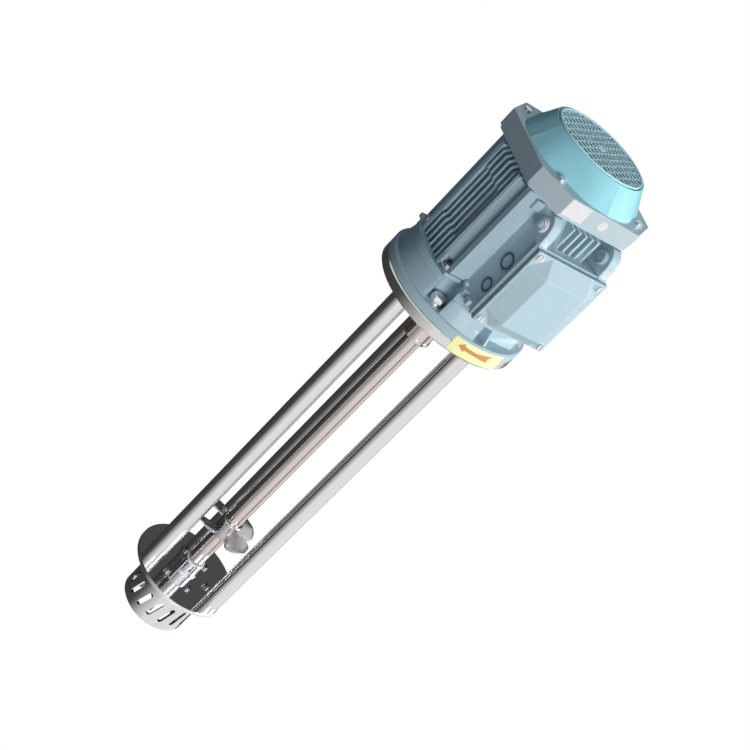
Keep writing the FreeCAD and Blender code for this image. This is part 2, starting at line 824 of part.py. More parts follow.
def motor_shaft():
    """Motor shaft: drive end below, rotor in the middle, fan end above."""
    low = "(plate_thick - extension_length)"
    front_top = "(front_bearing_base + front_bearing_width)"
    shaft = turned([
        ("0", low),
        ("extension_radius - 1", low),
        ("extension_radius", f"{low} + 1"),
        ("extension_radius", "front_bearing_base - 2"),
        ("front_seat_radius", "front_bearing_base - 2"),
        ("front_seat_radius", front_top),
        ("shaft_body_radius", front_top),
        ("shaft_body_radius", "rear_bearing_base"),
        ("rear_seat_radius", "rear_bearing_base"),
        ("rear_seat_radius", "rear_bearing_base + rear_bearing_width + 2"),
        ("fan_seat_radius", "rear_bearing_base + rear_bearing_width + 2"),
        ("fan_seat_radius", "fan_base + fan_hub_height"),
        ("fan_seat_radius - 1", "fan_base + fan_hub_height"),
        ("fan_seat_radius - 1", "fan_base + fan_hub_height + ring_groove"),
        ("fan_seat_radius", "fan_base + fan_hub_height + ring_groove"),
        ("fan_seat_radius", "shaft_top - 1"),
        ("fan_seat_radius - 1", "shaft_top"),
        ("0", "shaft_top"),
    ])
    seat = box("key_depth + 1", "key_width", "key_length", x="extension_radius - key_depth", y="0 - key_width / 2",
               z=f"{low} + 4")
    keep(cut(shaft, [seat]), "motor_shaft")
    key = box("key_height", "key_width - 2 * seat_clear", "key_length - 2 * seat_clear",
              x="extension_radius - key_depth + seat_clear", y="0 - key_width / 2 + seat_clear",
              z=f"{low} + 4 + seat_clear")
    keep(key, "shaft_key")


def bearing(name, seat, outer, base, width):
    """Ball bearing as four pieces: inner ring, outer ring, cage and balls."""
    middle = f"({base} + {width} / 2)"
    pitch = f"(({seat} + {outer}) / 2)"

    def race(back, face, groove, label):
        ring = turned([
            (back, base), (face, base), (face, f"{middle} - 2.2"), (groove, f"{middle} - 1.2"),
            (groove, f"{middle} + 1.2"), (face, f"{middle} + 2.2"), (face, f"{base} + {width}"),
            (back, f"{base} + {width}"),
        ])
        keep(ring, label)

    race(f"{seat} + seat_clear", f"{seat} + race_thick", f"{pitch} - ball_radius - ball_clear", f"{name}_inner_ring")
    race(f"{outer} - seat_clear", f"{outer} - race_thick", f"{pitch} + ball_radius + ball_clear", f"{name}_outer_ring")
    balls = []
    windows = []
    for number, (x, y, angle) in enumerate(around(pitch, "0", SIZES["ball_count"])):
        ball = doc.addObject("Part::Sphere", "Ball")
        ball.setExpression("Radius", bound("ball_radius"))
        balls.append(place(ball, x, y, middle))
        turn = math.radians(number * 360 / SIZES["ball_count"])
        windows.append(cylinder("ball_radius + ball_clear", "8", f"{x} - 4 * cos({angle})", f"{y} - 4 * sin({angle})",
                                middle, "90", V(-math.sin(turn), math.cos(turn), 0)))
    keep(group(balls), f"{name}_balls")
    cage = turned([
        (f"{pitch} - cage_thick / 2", f"{middle} - ball_radius - 1.6"),
        (f"{pitch} + cage_thick / 2", f"{middle} - ball_radius - 1.6"),
        (f"{pitch} + cage_thick / 2", f"{middle} + ball_radius + 1.6"),
        (f"{pitch} - cage_thick / 2", f"{middle} + ball_radius + 1.6"),
    ])
    keep(cut(cage, windows), f"{name}_cage")


def front_end_shield():
    """Cast flange that closes the motor at the drive end and holds its main bearing."""
    bearing_top = "(front_bearing_base + front_bearing_width)"
    seal_top = "(plate_thick + motor_seal_height)"
    body = turned([
        ("motor_seal_radius", "plate_thick - spigot_height"),
        ("spigot_radius", "plate_thick - spigot_height"),
        ("spigot_radius", "plate_thick"),
        ("flange_radius - 1", "plate_thick"),
        ("flange_radius", "plate_thick + 1"),
        ("flange_radius", f"{FLANGE_TOP} - 1.5"),
        ("flange_radius - 1.5", FLANGE_TOP),
        ("flange_radius - 4", FLANGE_TOP),
        ("ring_radius - 1", "ring_base"),
        ("ring_radius", "ring_base + 2"),
        ("ring_radius", "frame_base"),
        ("core_radius - seat_clear", "frame_base"),
        ("core_radius - seat_clear", "frame_base + 4"),
        ("core_radius - hollow_step", "frame_base + 4"),
        ("core_radius - hollow_step", "hollow_floor + 8"),
        ("hollow_radius", "hollow_floor"),
        ("front_ring_radius + hub_wall + 2", "hollow_floor - 4"),
        ("front_ring_radius + hub_wall", f"{bearing_top} + 2"),
        ("front_ring_radius", f"{bearing_top} + 2"),
        ("front_ring_radius", "front_bearing_base"),
        ("front_ring_radius - 4", "front_bearing_base"),
        ("front_ring_radius - 5", "front_bearing_base - 3"),
        ("extension_radius + 1.5", "front_bearing_base - 3"),
        ("extension_radius + 1.5", seal_top),
        ("motor_seal_radius", seal_top),
    ])
    gusset = doc.addObject("PartDesign::Body", "Body")
    sketch = outline_sketch(gusset, "XZ_Plane", [
        ("recess_floor - 3", f"{FLANGE_TOP} - 1"), ("gusset_reach", f"{FLANGE_TOP} - 1"), ("gusset_reach", FLANGE_TOP),
        ("ring_radius - 3", "recess_top + 1"), ("recess_floor - 3", "recess_top + 1"),
    ], "0 - gusset_thick / 2")
    pad = gusset.newObject("PartDesign::Pad", "Gusset")
    pad.Profile = sketch
    pad.setExpression("Length", bound("gusset_thick"))
    holes = []
    tall = f"frame_base - {FLANGE_TOP} + 10"
    pockets = []
    for x, y, angle in around("bolt_circle_radius", BOLT_START, BOLTS):
        holes.append(cylinder("bolt_hole_radius", "flange_thick", x, y, "plate_thick"))
        mouth = box("flange_radius", "2 * shield_bolt_pocket", tall)
        place(mouth, f"{x} + shield_bolt_pocket * sin({angle})", f"{y} - shield_bolt_pocket * cos({angle})",
              FLANGE_TOP, angle)
        pockets.append(fused([cylinder("shield_bolt_pocket", tall, x, y, FLANGE_TOP), mouth]))
    recess = box("flange_radius", "recess_end - recess_start", f"recess_top - {FLANGE_TOP}", x="recess_floor",
                 y="recess_start", z=FLANGE_TOP)
    flank = cut(body, pockets + [recess])
    for side, front in SHIELD_SCREWS:
        holes.append(cylinder("shield_screw_radius + tapped_clear", "shield_screw_depth", f"{side}shield_screw_side",
                              f"{front}shield_screw_front", "frame_base - shield_screw_depth"))
    keep(cut(fused([flank, gusset]), holes), "front_end_shield")
    seal = turned([
        ("extension_radius + running_clear", "plate_thick + 2"),
        ("extension_radius + 2", "plate_thick"),
        ("motor_seal_radius - seat_clear", "plate_thick"),
        ("motor_seal_radius - seat_clear", seal_top),
        ("extension_radius + 3", seal_top),
        ("extension_radius + running_clear", "plate_thick + 3.5"),
    ])
    keep(seal, "motor_shaft_seal")


def flange_bolts():
    """Four bolts, each with a flat washer and a spring washer, from the flange into the plate."""
    flats = []
    springs = []
    bolts = []
    spring_base = f"({FLANGE_TOP} + washer_thick)"
    head_base = f"({spring_base} + spring_washer_thick)"
    for x, y, angle in around("bolt_circle_radius", BOLT_START, BOLTS):
        hole = cylinder("bolt_radius + tapped_clear", "frame_base", x, y)
        flats.append(cut(cylinder("washer_radius", "washer_thick", x, y, FLANGE_TOP), [hole]))
        springs.append(cut(cylinder("spring_washer_radius", "spring_washer_thick", x, y, spring_base), [hole]))
        shank = cylinder("bolt_radius", f"{head_base} - 1", x, y, "1")
        head = prism(6, "bolt_head_flats / sqrt(3)", "bolt_head_height", x, y, head_base)
        top = cone("bolt_head_flats / sqrt(3)", "bolt_head_flats / 2 - 0.6", "bolt_head_height * 0.3 + 0.6", x, y,
                   f"{head_base} + bolt_head_height * 0.7")
        low = cylinder("bolt_head_flats / sqrt(3)", "bolt_head_height * 0.7", x, y, head_base)
        bolts.append(fused([shank, common(head, fused([low, top]))]))
    keep(group(flats), "flange_washers")
    keep(group(springs), "flange_spring_washers")
    keep(group(bolts), "flange_bolts")


def fin_outline(both_sides):
    """Outline of one cooling fin seen from its flat side, as (across, height) corners."""
    one = [
        ("0 - fin_reach", "frame_base"),
        ("0 - fin_reach", "fin_step_low - 1.5"),
        ("0 - fin_reach + fin_step", "fin_step_low + 1.5"),
        ("0 - fin_reach + fin_step", "fin_step_high - 1.5"),
        ("0 - fin_reach", "fin_step_high + 1.5"),
        ("0 - fin_reach", "frame_top - fin_run_out"),
        ("0 - fin_reach + fin_run_out", "frame_top"),
    ]
    if both_sides:
        other = [(across.replace("0 - fin_reach", "fin_reach").replace("+", "-"), along) for across, along in one]
        return one + other[::-1]
    return one + [("0", "frame_top"), ("0", "frame_base")]


def fin_bank(role, axis, both_sides):
    """Five equal fins from one outline, repeated along an axis."""
    body = doc.addObject("PartDesign::Body", "Body")
    sketch = outline_sketch(body, role, fin_outline(both_sides), "0 - 2 * fin_pitch - fin_thick / 2")
    pad = body.newObject("PartDesign::Pad", "Fin")
    pad.Profile = sketch
    pad.setExpression("Length", bound("fin_thick"))
    row = body.newObject("PartDesign::LinearPattern", "FinRow")
    row.Originals = [pad]
    row.Direction = (origin_feature(body, axis), [""])
    row.Reversed = role == "XZ_Plane"
    row.setExpression("Length", bound("4 * fin_pitch"))
    row.Occurrences = 5
    body.Tip = row
    return body


def motor_frame():
    """Finned frame with the terminal box cast on its +X side."""
    tall = "(frame_top - frame_base)"
    solid = [cylinder("frame_radius", tall, z="frame_base")]
    solid.append(fin_bank("YZ_Plane", "X_Axis", True))
    solid.append(fin_bank("XZ_Plane", "Y_Axis", False))
    for x in ("rib_offset - rib_thick / 2", "0 - rib_offset - rib_thick / 2"):
        solid.append(box("rib_thick", "2 * fin_reach", f"{tall} - 4", x=x, y="0 - fin_reach", z="frame_base"))
    for y in ("rib_offset - rib_thick / 2", "0 - rib_offset - rib_thick / 2"):
        solid.append(box("fin_reach", "rib_thick", f"{tall} - 4", x="0 - fin_reach", y=y, z="frame_base"))
    round_off = cylinder("corner_rib_reach", tall, z="frame_base")
    ribs = []
    for corner in ("135", "225"):
        rib = box("corner_rib_reach + 5", "corner_rib_width", tall)
        ribs.append(place(rib, f"corner_rib_width / 2 * sin({corner})", f"0 - corner_rib_width / 2 * cos({corner})",
                          "frame_base", corner))
    solid.append(common(fused(ribs), round_off))
    solid.append(box("shoulder_thick", "2 * shoulder_reach", "frame_top - 1 - shoulder_base",
                     x="shoulder_edge - shoulder_thick", y="0 - shoulder_reach", z="shoulder_base"))
    for side, front in SHIELD_SCREWS:
        solid.append(box("shoulder_edge - 0.5 - rib_offset", "fin_reach - 50", "shield_lug_height",
                         x=f"{side}(rib_offset + shoulder_edge - 9) / 2 - (shoulder_edge - 0.5 - rib_offset) / 2",
                         y="50" if not front else "0 - (fin_reach - 2)", z="frame_base"))
    solid.append(box("box_face - box_root", "2 * box_half_width", "box_top - box_base", x="box_root",
                     y="0 - box_half_width", z="box_base"))
    for sign in ("", "0 - "):
        solid.append(box("lug_wide", "lug_wide", "lug_wide", x="shoulder_edge - lug_sunk",
                         y=f"{sign}lug_line - lug_wide / 2", z="lug_height"))
        for x, z in (("box_root + 15", "box_base + 7"), ("box_root + 26", "box_base + 2")):
            solid.append(box("lug_wide * 0.7", "lug_proud + 2", "lug_wide * 0.7", x=x,
                             y=f"{sign}(box_half_width + lug_proud / 2 - 1) - lug_proud / 2 - 1", z=z))
    cheek = doc.addObject("PartDesign::Body", "Body")
    outline = outline_sketch(cheek, "XZ_Plane", [
        ("box_root", "box_top - 2"), ("box_face", "box_top - 2"), ("box_face", "box_top"), ("box_face - 4", "box_top + 2"),
        ("box_face - 4.5", "box_top + 16"), ("box_face - 8", "box_top + 26"), ("box_face - 12", "box_top + 31"),
        ("box_face - 18", "frame_top - 0.5"), ("box_root", "frame_top - 0.5"),
    ], "0 - box_half_width")
    pad = cheek.newObject("PartDesign::Pad", "Cheek")
    pad.Profile = outline
    pad.setExpression("Length", bound("2 * box_half_width"))
    gap = box("box_face", "2 * (box_half_width - cheek_thick)", "frame_top", x="0",
              y="0 - box_half_width + cheek_thick", z="box_top")
    solid.append(cut(cheek, [gap]))
    for number in (-2, -1, 0, 1, 2):
        solid.append(box("pocket_fin_reach - 50", "fin_thick", "frame_top - 3 - box_top + 1", x="50",
                         y=f"{number} * fin_pitch - fin_thick / 2", z="box_top - 1"))
    for sign in ("", "0 - "):
        solid.append(cylinder("side_boss_radius", "side_boss_proud + 2", x="side_boss_line",
                              y=f"{sign}(box_half_width + side_boss_proud / 2 - 1)" + (" - side_boss_proud / 2 - 1"),
                              z="side_boss_height", turn="0 - 90", axis=V(1, 0, 0)))
        solid.append(cylinder("side_boss_radius - 1", "6", x="side_boss_line",
                              y=f"{sign}(box_half_width - cheek_thick - 2) - 3", z="side_boss_height",
                              turn="0 - 90", axis=V(1, 0, 0)))
    holes = [cylinder("core_radius", f"{tall} + 20", z="frame_base - 10")]
    holes.append(box("box_face", "2 * (box_half_width - box_wall)", "box_top - box_base - 5 - 8",
                     x="box_floor", y="0 - box_half_width + box_wall", z="box_base + 5"))
    holes.append(cylinder("12", "box_floor", x="1", z="(box_base + box_top) / 2", turn="90", axis=V(0, 1, 0)))
    for corner in CORNERS:
        x = f"frame_screw_circle * cos({corner})"
        y = f"frame_screw_circle * sin({corner})"
        holes.append(cylinder("frame_screw_radius + tapped_clear", "frame_screw_depth", x, y,
                              "frame_top - frame_screw_depth"))
    for side, front in SHIELD_SCREWS:
        holes.append(cylinder("shield_screw_radius + 0.4", "shield_lug_height", f"{side}shield_screw_side",
                              f"{front}shield_screw_front", "frame_base"))
    for radius, level in (("knockout_large", "knockout_large_height"), ("knockout_small", "knockout_small_height")):
        for start in ("0 - box_half_width - 1", "box_half_width - knockout_groove"):
            outer = cylinder(f"{radius} + knockout_groove", "1 + knockout_groove", x="knockout_line", y=start, z=level,
                             turn="0 - 90", axis=V(1, 0, 0))
            inner = cylinder(radius, "1 + knockout_groove", x="knockout_line", y=start, z=level, turn="0 - 90",
                             axis=V(1, 0, 0))
            holes.append(cut(outer, [inner]))
    for x, y, z in LID_SCREWS:
        holes.append(cylinder("lid_screw_radius + tapped_clear", "14", x="box_face - 14", y=y, z=z, turn="90",
                              axis=V(0, 1, 0)))
    keep(cut(fused(solid), holes), "motor_frame")


LID_LOW = "(box_base - 1.2)"
LID_SCREWS = [("box_face", f"{sign}(box_half_width - lid_screw_inset)", level)
              for sign in ("", "0 - ") for level in (f"{LID_LOW} + lid_screw_inset", "box_top - lid_screw_inset")]


def shield_screws():
    """Screws from the frame's foot lugs into the front shield, and from the rear shield into the frame."""
    front_screws = []
    for side, front in SHIELD_SCREWS:
        x = f"{side}shield_screw_side"
        y = f"{front}shield_screw_front"
        top = "(frame_base + shield_lug_height)"
        shank = cylinder("shield_screw_radius", "shield_lug_height + shield_screw_depth - 1", x, y,
                         "frame_base - shield_screw_depth + 1")
        head = cylinder("shield_screw_head_radius", "shield_screw_head_height", x, y, top)
        socket = prism(6, "shield_screw_head_radius * 0.55", "shield_screw_head_height", x, y, f"{top} + 2")
        front_screws.append(cut(fused([shank, head]), [socket]))
    keep(group(front_screws), "end_shield_screws")
    rear_screws = []
    for corner in CORNERS:
        x = f"frame_screw_circle * cos({corner})"
        y = f"frame_screw_circle * sin({corner})"
        top = "(frame_top + shield_thick)"
        shank = cylinder("frame_screw_radius", "shield_thick + frame_screw_depth - 2", x, y,
                         "frame_top - frame_screw_depth + 2")
        head = cylinder("shield_screw_head_radius", "shield_screw_head_height", x, y, top)
        socket = prism(6, "shield_screw_head_radius * 0.55", "shield_screw_head_height", x, y, f"{top} + 2")
        rear_screws.append(cut(fused([shank, head]), [socket]))
    keep(group(rear_screws), "rear_shield_screws")


def terminal_box():
    """Gasket, lid and the terminal block with its studs."""
    gasket = box("gasket_thick", "2 * box_half_width", f"box_top - {LID_LOW}", x="box_face", y="0 - box_half_width",
                 z=LID_LOW)
    opening = box("gasket_thick", "2 * (box_half_width - lid_ear)", f"box_top - {LID_LOW} - 2 * lid_ear",
                  x="box_face", y="0 - box_half_width + lid_ear", z=f"{LID_LOW} + lid_ear")
    holes = [opening]
    for x, y, z in LID_SCREWS:
        holes.append(cylinder("lid_screw_radius + 0.3", "gasket_thick", x=x, y=y, z=z, turn="90", axis=V(0, 1, 0)))
    keep(cut(gasket, holes), "terminal_box_gasket")

    rim_base = "(box_face + gasket_thick)"
    rim_top = "(box_face + gasket_thick + lid_rim_thick)"

    def eight(side, low, high, ear):
        return [
            (f"{side} - {ear}", low), (side, f"{low} + {ear}"), (side, f"{high} - {ear}"), (f"{side} - {ear}", high),
            (f"0 - {side} + {ear}", high), (f"0 - {side}", f"{high} - {ear}"), (f"0 - {side}", f"{low} + {ear}"),
            (f"0 - {side} + {ear}", low),
        ]

    rim = box("lid_rim_thick", "2 * box_half_width", f"box_top - {LID_LOW}", x=rim_base, y="0 - box_half_width",
              z=LID_LOW)
    crown = lofted("YZ_Plane", eight("box_half_width", LID_LOW, "box_top", "lid_ear"), rim_top,
                   eight("(box_half_width - lid_bevel)", f"({LID_LOW} + lid_bevel_end)", "(box_top - lid_bevel_end)", "3"),
                   f"{rim_top} + lid_height")
    hollow = lofted("YZ_Plane", eight("(box_half_width - 7)", f"({LID_LOW} + 7)", "(box_top - 7)", "lid_ear"), rim_base,
                    eight("(box_half_width - lid_bevel - 4)", f"({LID_LOW} + lid_bevel_end + 4)",
                          "(box_top - lid_bevel_end - 4)", "3"), f"{rim_top} + lid_height - lid_wall")
    holes = [hollow]
    for x, y, z in LID_SCREWS:
        holes.append(cylinder("lid_screw_radius + 0.4", "lid_rim_thick", x=rim_base, y=y, z=z, turn="90",
                              axis=V(0, 1, 0)))
    keep(cut(fused([rim, crown]), holes), "terminal_box_lid")

    screws = []
    for x, y, z in LID_SCREWS:
        shank = cylinder("lid_screw_radius", "lid_rim_thick + gasket_thick + 12", x="box_face - 12", y=y, z=z,
                         turn="90", axis=V(0, 1, 0))
        head = cylinder("lid_screw_head_radius", "lid_screw_head_height", x=rim_top, y=y, z=z, turn="90",
                        axis=V(0, 1, 0))
        slot = box("lid_screw_head_height", "1.2", "2 * lid_screw_head_radius", x=f"{rim_top} + 1.5",
                   y=f"{y} - 0.6", z=f"{z} - lid_screw_head_radius")
        screws.append(cut(fused([shank, head]), [slot]))
    keep(group(screws), "lid_screws")

    middle = "((box_base + box_top) / 2)"
    block = box("block_height", "block_width", "block_length", x="box_floor", y="0 - block_width / 2",
                z=f"{middle} - block_length / 2")
    window = box("block_height", "14", "14", x="box_floor", y="0 - 7", z=f"{middle} - 7")
    holes = [window]
    studs = []
    nuts = []
    for across in ("0 - stud_pitch_wide * 0.75", "stud_pitch_wide * 0.75"):
        for step in (-1, 0, 1):
            z = f"{middle} + {step} * stud_pitch_long"
            holes.append(cylinder("stud_radius + 0.05", "block_height", x="box_floor", y=across, z=z, turn="90",
                                  axis=V(0, 1, 0)))
            studs.append(cylinder("stud_radius", "stud_height", x="box_floor", y=across, z=z, turn="90",
                                  axis=V(0, 1, 0)))
            nut = prism(6, "stud_nut_flats / sqrt(3)", "stud_nut_height")
            place(nut, "box_floor + block_height", across, z, "90", V(0, 1, 0))
            bore = cylinder("stud_radius + 0.05", "stud_nut_height", x="box_floor + block_height", y=across, z=z,
                            turn="90", axis=V(0, 1, 0))
            nuts.append(cut(nut, [bore]))
    keep(cut(block, holes), "terminal_block")
    keep(group(studs), "terminal_studs")
    keep(group(nuts), "terminal_nuts")


def rear_end_shield():
    """Cast shield at the fan end with the rear bearing and the posts for the cover screws."""
    top = "(frame_top + shield_thick)"
    bearing_top = "(rear_bearing_base + rear_bearing_width)"
    hub = turned([
        ("rear_ring_radius", "frame_top - 4"),
        ("shield_hub_radius", "frame_top - 4"),
        ("shield_hub_radius", "frame_top"),
        ("core_radius - 7", "frame_top"),
        ("core_radius - 7", "frame_top - 5"),
        ("core_radius - seat_clear", "frame_top - 5"),
        ("core_radius - seat_clear", "frame_top"),
        ("core_radius + 3", "frame_top"),
        ("core_radius + 3", top),
        ("shield_hub_radius + 4", top),
        ("shield_hub_radius", f"{bearing_top} + 5"),
        ("rear_seat_radius + 1.5", f"{bearing_top} + 5"),
        ("rear_seat_radius + 1.5", f"{bearing_top} + 1.6"),
        ("rear_ring_radius", f"{bearing_top} + 1.6"),
    ])
    plate = extruded(cut_square("(cover_side - cover_wall - shield_gap)", "(cover_corner - cover_wall - shield_gap)"),
                     "frame_top", "shield_thick")
    solid = [hub]
    holes = []
    for corner in CORNERS:
        x = f"cover_screw_circle * cos({corner})"
        y = f"cover_screw_circle * sin({corner})"
        solid.append(cylinder("shield_column_radius", f"cover_band_top - cover_lug_floor - {top} + 1", x, y, f"{top} - 1"))
        holes.append(cylinder("cover_screw_radius + tapped_clear", "12", x, y, "cover_band_top - cover_lug_floor - 12"))
        x = f"frame_screw_circle * cos({corner})"
        y = f"frame_screw_circle * sin({corner})"
        holes.append(cylinder("frame_screw_radius + 0.4", "shield_thick", x, y, "frame_top"))
    bore = cylinder("core_radius", "shield_thick", z="frame_top")
    solid.append(cut(plate, [bore]))
    keep(cut(fused(solid), holes), "rear_end_shield")
    washer = turned([
        ("rear_ring_radius - 5", f"{bearing_top} + 0.1"),
        ("rear_ring_radius - 0.4", f"{bearing_top} + 0.1"),
        ("rear_ring_radius - 0.4", f"{bearing_top} + 1.5"),
        ("rear_ring_radius - 5", f"{bearing_top} + 1.5"),
    ])
    keep(washer, "preload_washer")


def fan_cover():
    """Pressed cover: an eight-sided band and a skirt that runs up to a round crown."""
    band = extruded(cut_square("cover_side", "cover_corner"), "cover_base", "cover_band_top - cover_base")
    hollow_band = extruded(cut_square("(cover_side - cover_wall)", "(cover_corner - cover_wall)"), "cover_base - 1",
                           "cover_band_top - cover_base - cover_wall + 1")
    skirt = fan_skirt("0")
    inner = fan_skirt("cover_wall")
    lugs = []
    for corner in CORNERS:
        x = f"cover_screw_circle * cos({corner})"
        y = f"cover_screw_circle * sin({corner})"
        lugs.append(cylinder("cover_screw_radius + 0.4", "20", x, y, "cover_band_top - 10"))
    body = cut(cut(fused([band, skirt]), [fused([hollow_band, inner])]), lugs)
    keep(body, "fan_cover")


def fan_skirt(inset):
    """Skirt of the fan cover, as a solid drawn in by the inset: hollowed at the corners, creased at the sides."""
    drawn = value(inset)
    low = value("cover_band_top") - drawn
    high = value("cover_crown") + (1 if drawn else 0)
    crown = value("cover_crown_radius") - drawn
    edge = value("skirt_edge") - drawn
    angle = value("skirt_edge_angle")
    base_edges = []
    crown_edges = []

    def spot(radius, turn, level):
        return V(radius * math.cos(math.radians(turn)), radius * math.sin(math.radians(turn)), level)

    for side in (0, 90, 180, 270):
        middle = spot(value("skirt_side") - drawn, side, low)
        left = spot(edge, side + angle, low)
        base_edges.append(Part.LineSegment(spot(edge, side - angle, low), middle).toShape())
        base_edges.append(Part.LineSegment(middle, left).toShape())
        base_edges.append(Part.Arc(left, spot(value("skirt_corner") - drawn, side + 45, low),
                                   spot(edge, side + 90 - angle, low)).toShape())
        for first, second in ((-angle, 0), (0, angle), (angle, 90 - angle)):
            crown_edges.append(Part.Arc(*[spot(crown, side + turn, high)
                                          for turn in (first, (first + second) / 2, second)]).toShape())
    return shape_object(Part.makeLoft([Part.Wire(base_edges), Part.Wire(crown_edges)], True, True))


def cover_screws():
    screws = []
    for corner in CORNERS:
        x = f"cover_screw_circle * cos({corner})"
        y = f"cover_screw_circle * sin({corner})"
        shank = cylinder("cover_screw_radius", "10 + cover_lug_floor", x, y, "cover_band_top - cover_lug_floor - 10")
        head = cylinder("cover_screw_head_radius", "cover_screw_head_height", x, y, "cover_band_top")
        slot = box("2 * cover_screw_head_radius", "1.2", "2", x=f"{x} - cover_screw_head_radius", y=f"{y} - 0.6",
                   z="cover_band_top + 1.5")
        screws.append(cut(fused([shank, head]), [slot]))
    keep(group(screws), "fan_cover_screws")


def air_grille():
    """Square mesh over the crown, inside a rim ring."""
    base = "(cover_crown - grille_sink)"
    rim = turned([
        ("grille_radius - grille_rim", base), ("grille_radius", base), ("grille_radius", f"{base} + grille_thick"),
        ("grille_radius - grille_rim", f"{base} + grille_thick"),
    ])
    bars = []
    count = int(SIZES["grille_radius"] / SIZES["grille_pitch"])
    for number in range(-count, count + 1):
        offset = f"{number} * grille_pitch - grille_bar / 2"
        bars.append(box("2 * grille_radius", "grille_bar", "grille_thick - 0.6", x="0 - grille_radius", y=offset, z=base))
        bars.append(box("grille_bar", "2 * grille_radius", "grille_thick - 0.6", x=offset, y="0 - grille_radius", z=base))
    disc = cylinder("grille_radius - 1", "grille_thick - 0.6", z=base)
    boss = cylinder("grille_boss_radius", "grille_thick", z=base)
    keep(fused([rim, common(fused(bars), disc), boss]), "air_grille")


def cooling_fan():
    """Plastic fan with straight radial blades for both directions of turning."""
    top = "(fan_base + fan_hub_height)"
    hub = turned([
        ("fan_seat_radius + seat_clear", "fan_base"), ("fan_radius", "fan_base"),
        ("fan_radius", "fan_base + fan_plate_thick"), ("fan_hub_radius", "fan_base + fan_plate_thick"),
        ("fan_hub_radius", top), ("fan_seat_radius + seat_clear", top),
    ])
    blades = []
    for x, y, angle in around("fan_blade_inner", "11", SIZES["fan_blade_count"]):
        blade = box("fan_radius - fan_blade_inner - 1", "fan_blade_thick", "fan_blade_height")
        blades.append(place(blade, x, y, "fan_base + fan_plate_thick - 0.5", angle))
    keep(fused([hub] + blades), "cooling_fan")
    ring = turned([
        ("fan_seat_radius - 0.9", f"{top} + 0.1"), ("fan_seat_radius + ring_width", f"{top} + 0.1"),
        ("fan_seat_radius + ring_width", f"{top} + ring_groove - 0.1"), ("fan_seat_radius - 0.9", f"{top} + ring_groove - 0.1"),
    ])
    split = box("20", "5", "5", x="0", y="0 - 2.5", z=top)
    keep(cut(ring, [split]), "fan_retaining_ring")


def rotor():
    """Laminated rotor core with its cast cage of bars and end rings."""
    high = "(core_base + core_length)"
    core = turned([
        ("shaft_body_radius + seat_clear", "core_base"), ("rotor_core_radius", "core_base"),
        ("rotor_core_radius", high), ("shaft_body_radius + seat_clear", high),
    ])
    slots = []
    bars = []
    count = 14
    for x, y, angle in around("(rotor_core_radius - 4)", "0", count):
        slots.append(cylinder("2.2", "core_length", x, y, "core_base"))
        bars.append(cylinder("2.2 - seat_clear", "core_length + 4", x, y, "core_base - 2"))
    keep(cut(core, slots), "rotor_core")
    rings = []
    for level in ("core_base - end_ring_height - seat_clear", f"{high} + seat_clear"):
        rings.append(turned([
            ("rotor_core_radius - end_ring_width - 1", level), ("rotor_core_radius - 1", level),
            ("rotor_core_radius - 1", f"{level} + end_ring_height"),
            ("rotor_core_radius - end_ring_width - 1", f"{level} + end_ring_height"),
        ]))
    keep(fused(rings + bars), "rotor_cage")


def stator():
    """Laminated stator core, with the winding running through its slots to both end turns."""
    high = "(core_base + core_length)"
    core = turned([
        ("rotor_core_radius + air_gap", "core_base"), ("core_radius - seat_clear", "core_base"),
        ("core_radius - seat_clear", high), ("rotor_core_radius + air_gap", high),
    ])
    inner = "(rotor_core_radius + air_gap + 2.5)"
    slots = []
    bars = []
    for x, y, angle in around("0", "0", 12):
        slot = box("tooth_depth", "6", "core_length")
        slots.append(place(slot, f"{inner} * cos({angle}) + 3 * sin({angle})",
                           f"{inner} * sin({angle}) - 3 * cos({angle})", "core_base", angle))
        bar = box("tooth_depth - 0.5", "5.5", "core_length + 2")
        bars.append(place(bar, f"({inner} + 0.25) * cos({angle}) + 2.75 * sin({angle})",
                          f"({inner} + 0.25) * sin({angle}) - 2.75 * cos({angle})", "core_base - 1", angle))
    keep(cut(core, slots), "stator_core")
    rings = []
    for level, lean in (("core_base - 0.3 - winding_height", "0 - 1"), (f"{high} + 0.3", "1")):
        rings.append(turned([
            (f"{inner} + 1", level), (f"{inner} + 15", level), (f"{inner} + 17", f"{level} + winding_height / 2"),
            (f"{inner} + 15", f"{level} + winding_height"), (f"{inner} + 1", f"{level} + winding_height"),
            (f"{inner} - 1", f"{level} + winding_height / 2"),
        ]))
    keep(fused(rings + bars), "stator_winding")


def stickers():
    """Arrow sticker on the plate's rim and the plain label on the cover's band."""
    ring = cut(cylinder("plate_radius + sticker_thick + 0.05", f"{FLANGE_TOP} - 2 * sticker_margin", z="sticker_margin"),
               [cylinder("plate_radius + 0.05", FLANGE_TOP)])
    wedge = doc.addObject("Part::Cylinder", "Wedge")
    wedge.setExpression("Radius", bound("plate_radius * 1.2"))
    wedge.setExpression("Height", bound(FLANGE_TOP))
    wedge.setExpression("Angle", bound("sticker_span"))
    place(wedge, turn="sticker_start")
    keep(common(ring, wedge), "rotation_sticker")


for build in (mounting_plate, shaft_seal, support_rods, rod_screws, lower_disc, lower_bushing, stator_head,
              stator_screws, shear_rotor, rotor_nut, mixer_shaft, socket_screws, propeller, motor_shaft):
    build()
bearing("front_bearing", "front_seat_radius", "front_ring_radius", "front_bearing_base", "front_bearing_width")
bearing("rear_bearing", "rear_seat_radius", "rear_ring_radius", "rear_bearing_base", "rear_bearing_width")
for build in (front_end_shield, flange_bolts, motor_frame, shield_screws, terminal_box, rear_end_shield, fan_cover,
              cover_screws, air_grille, cooling_fan, rotor, stator, stickers):
    build()

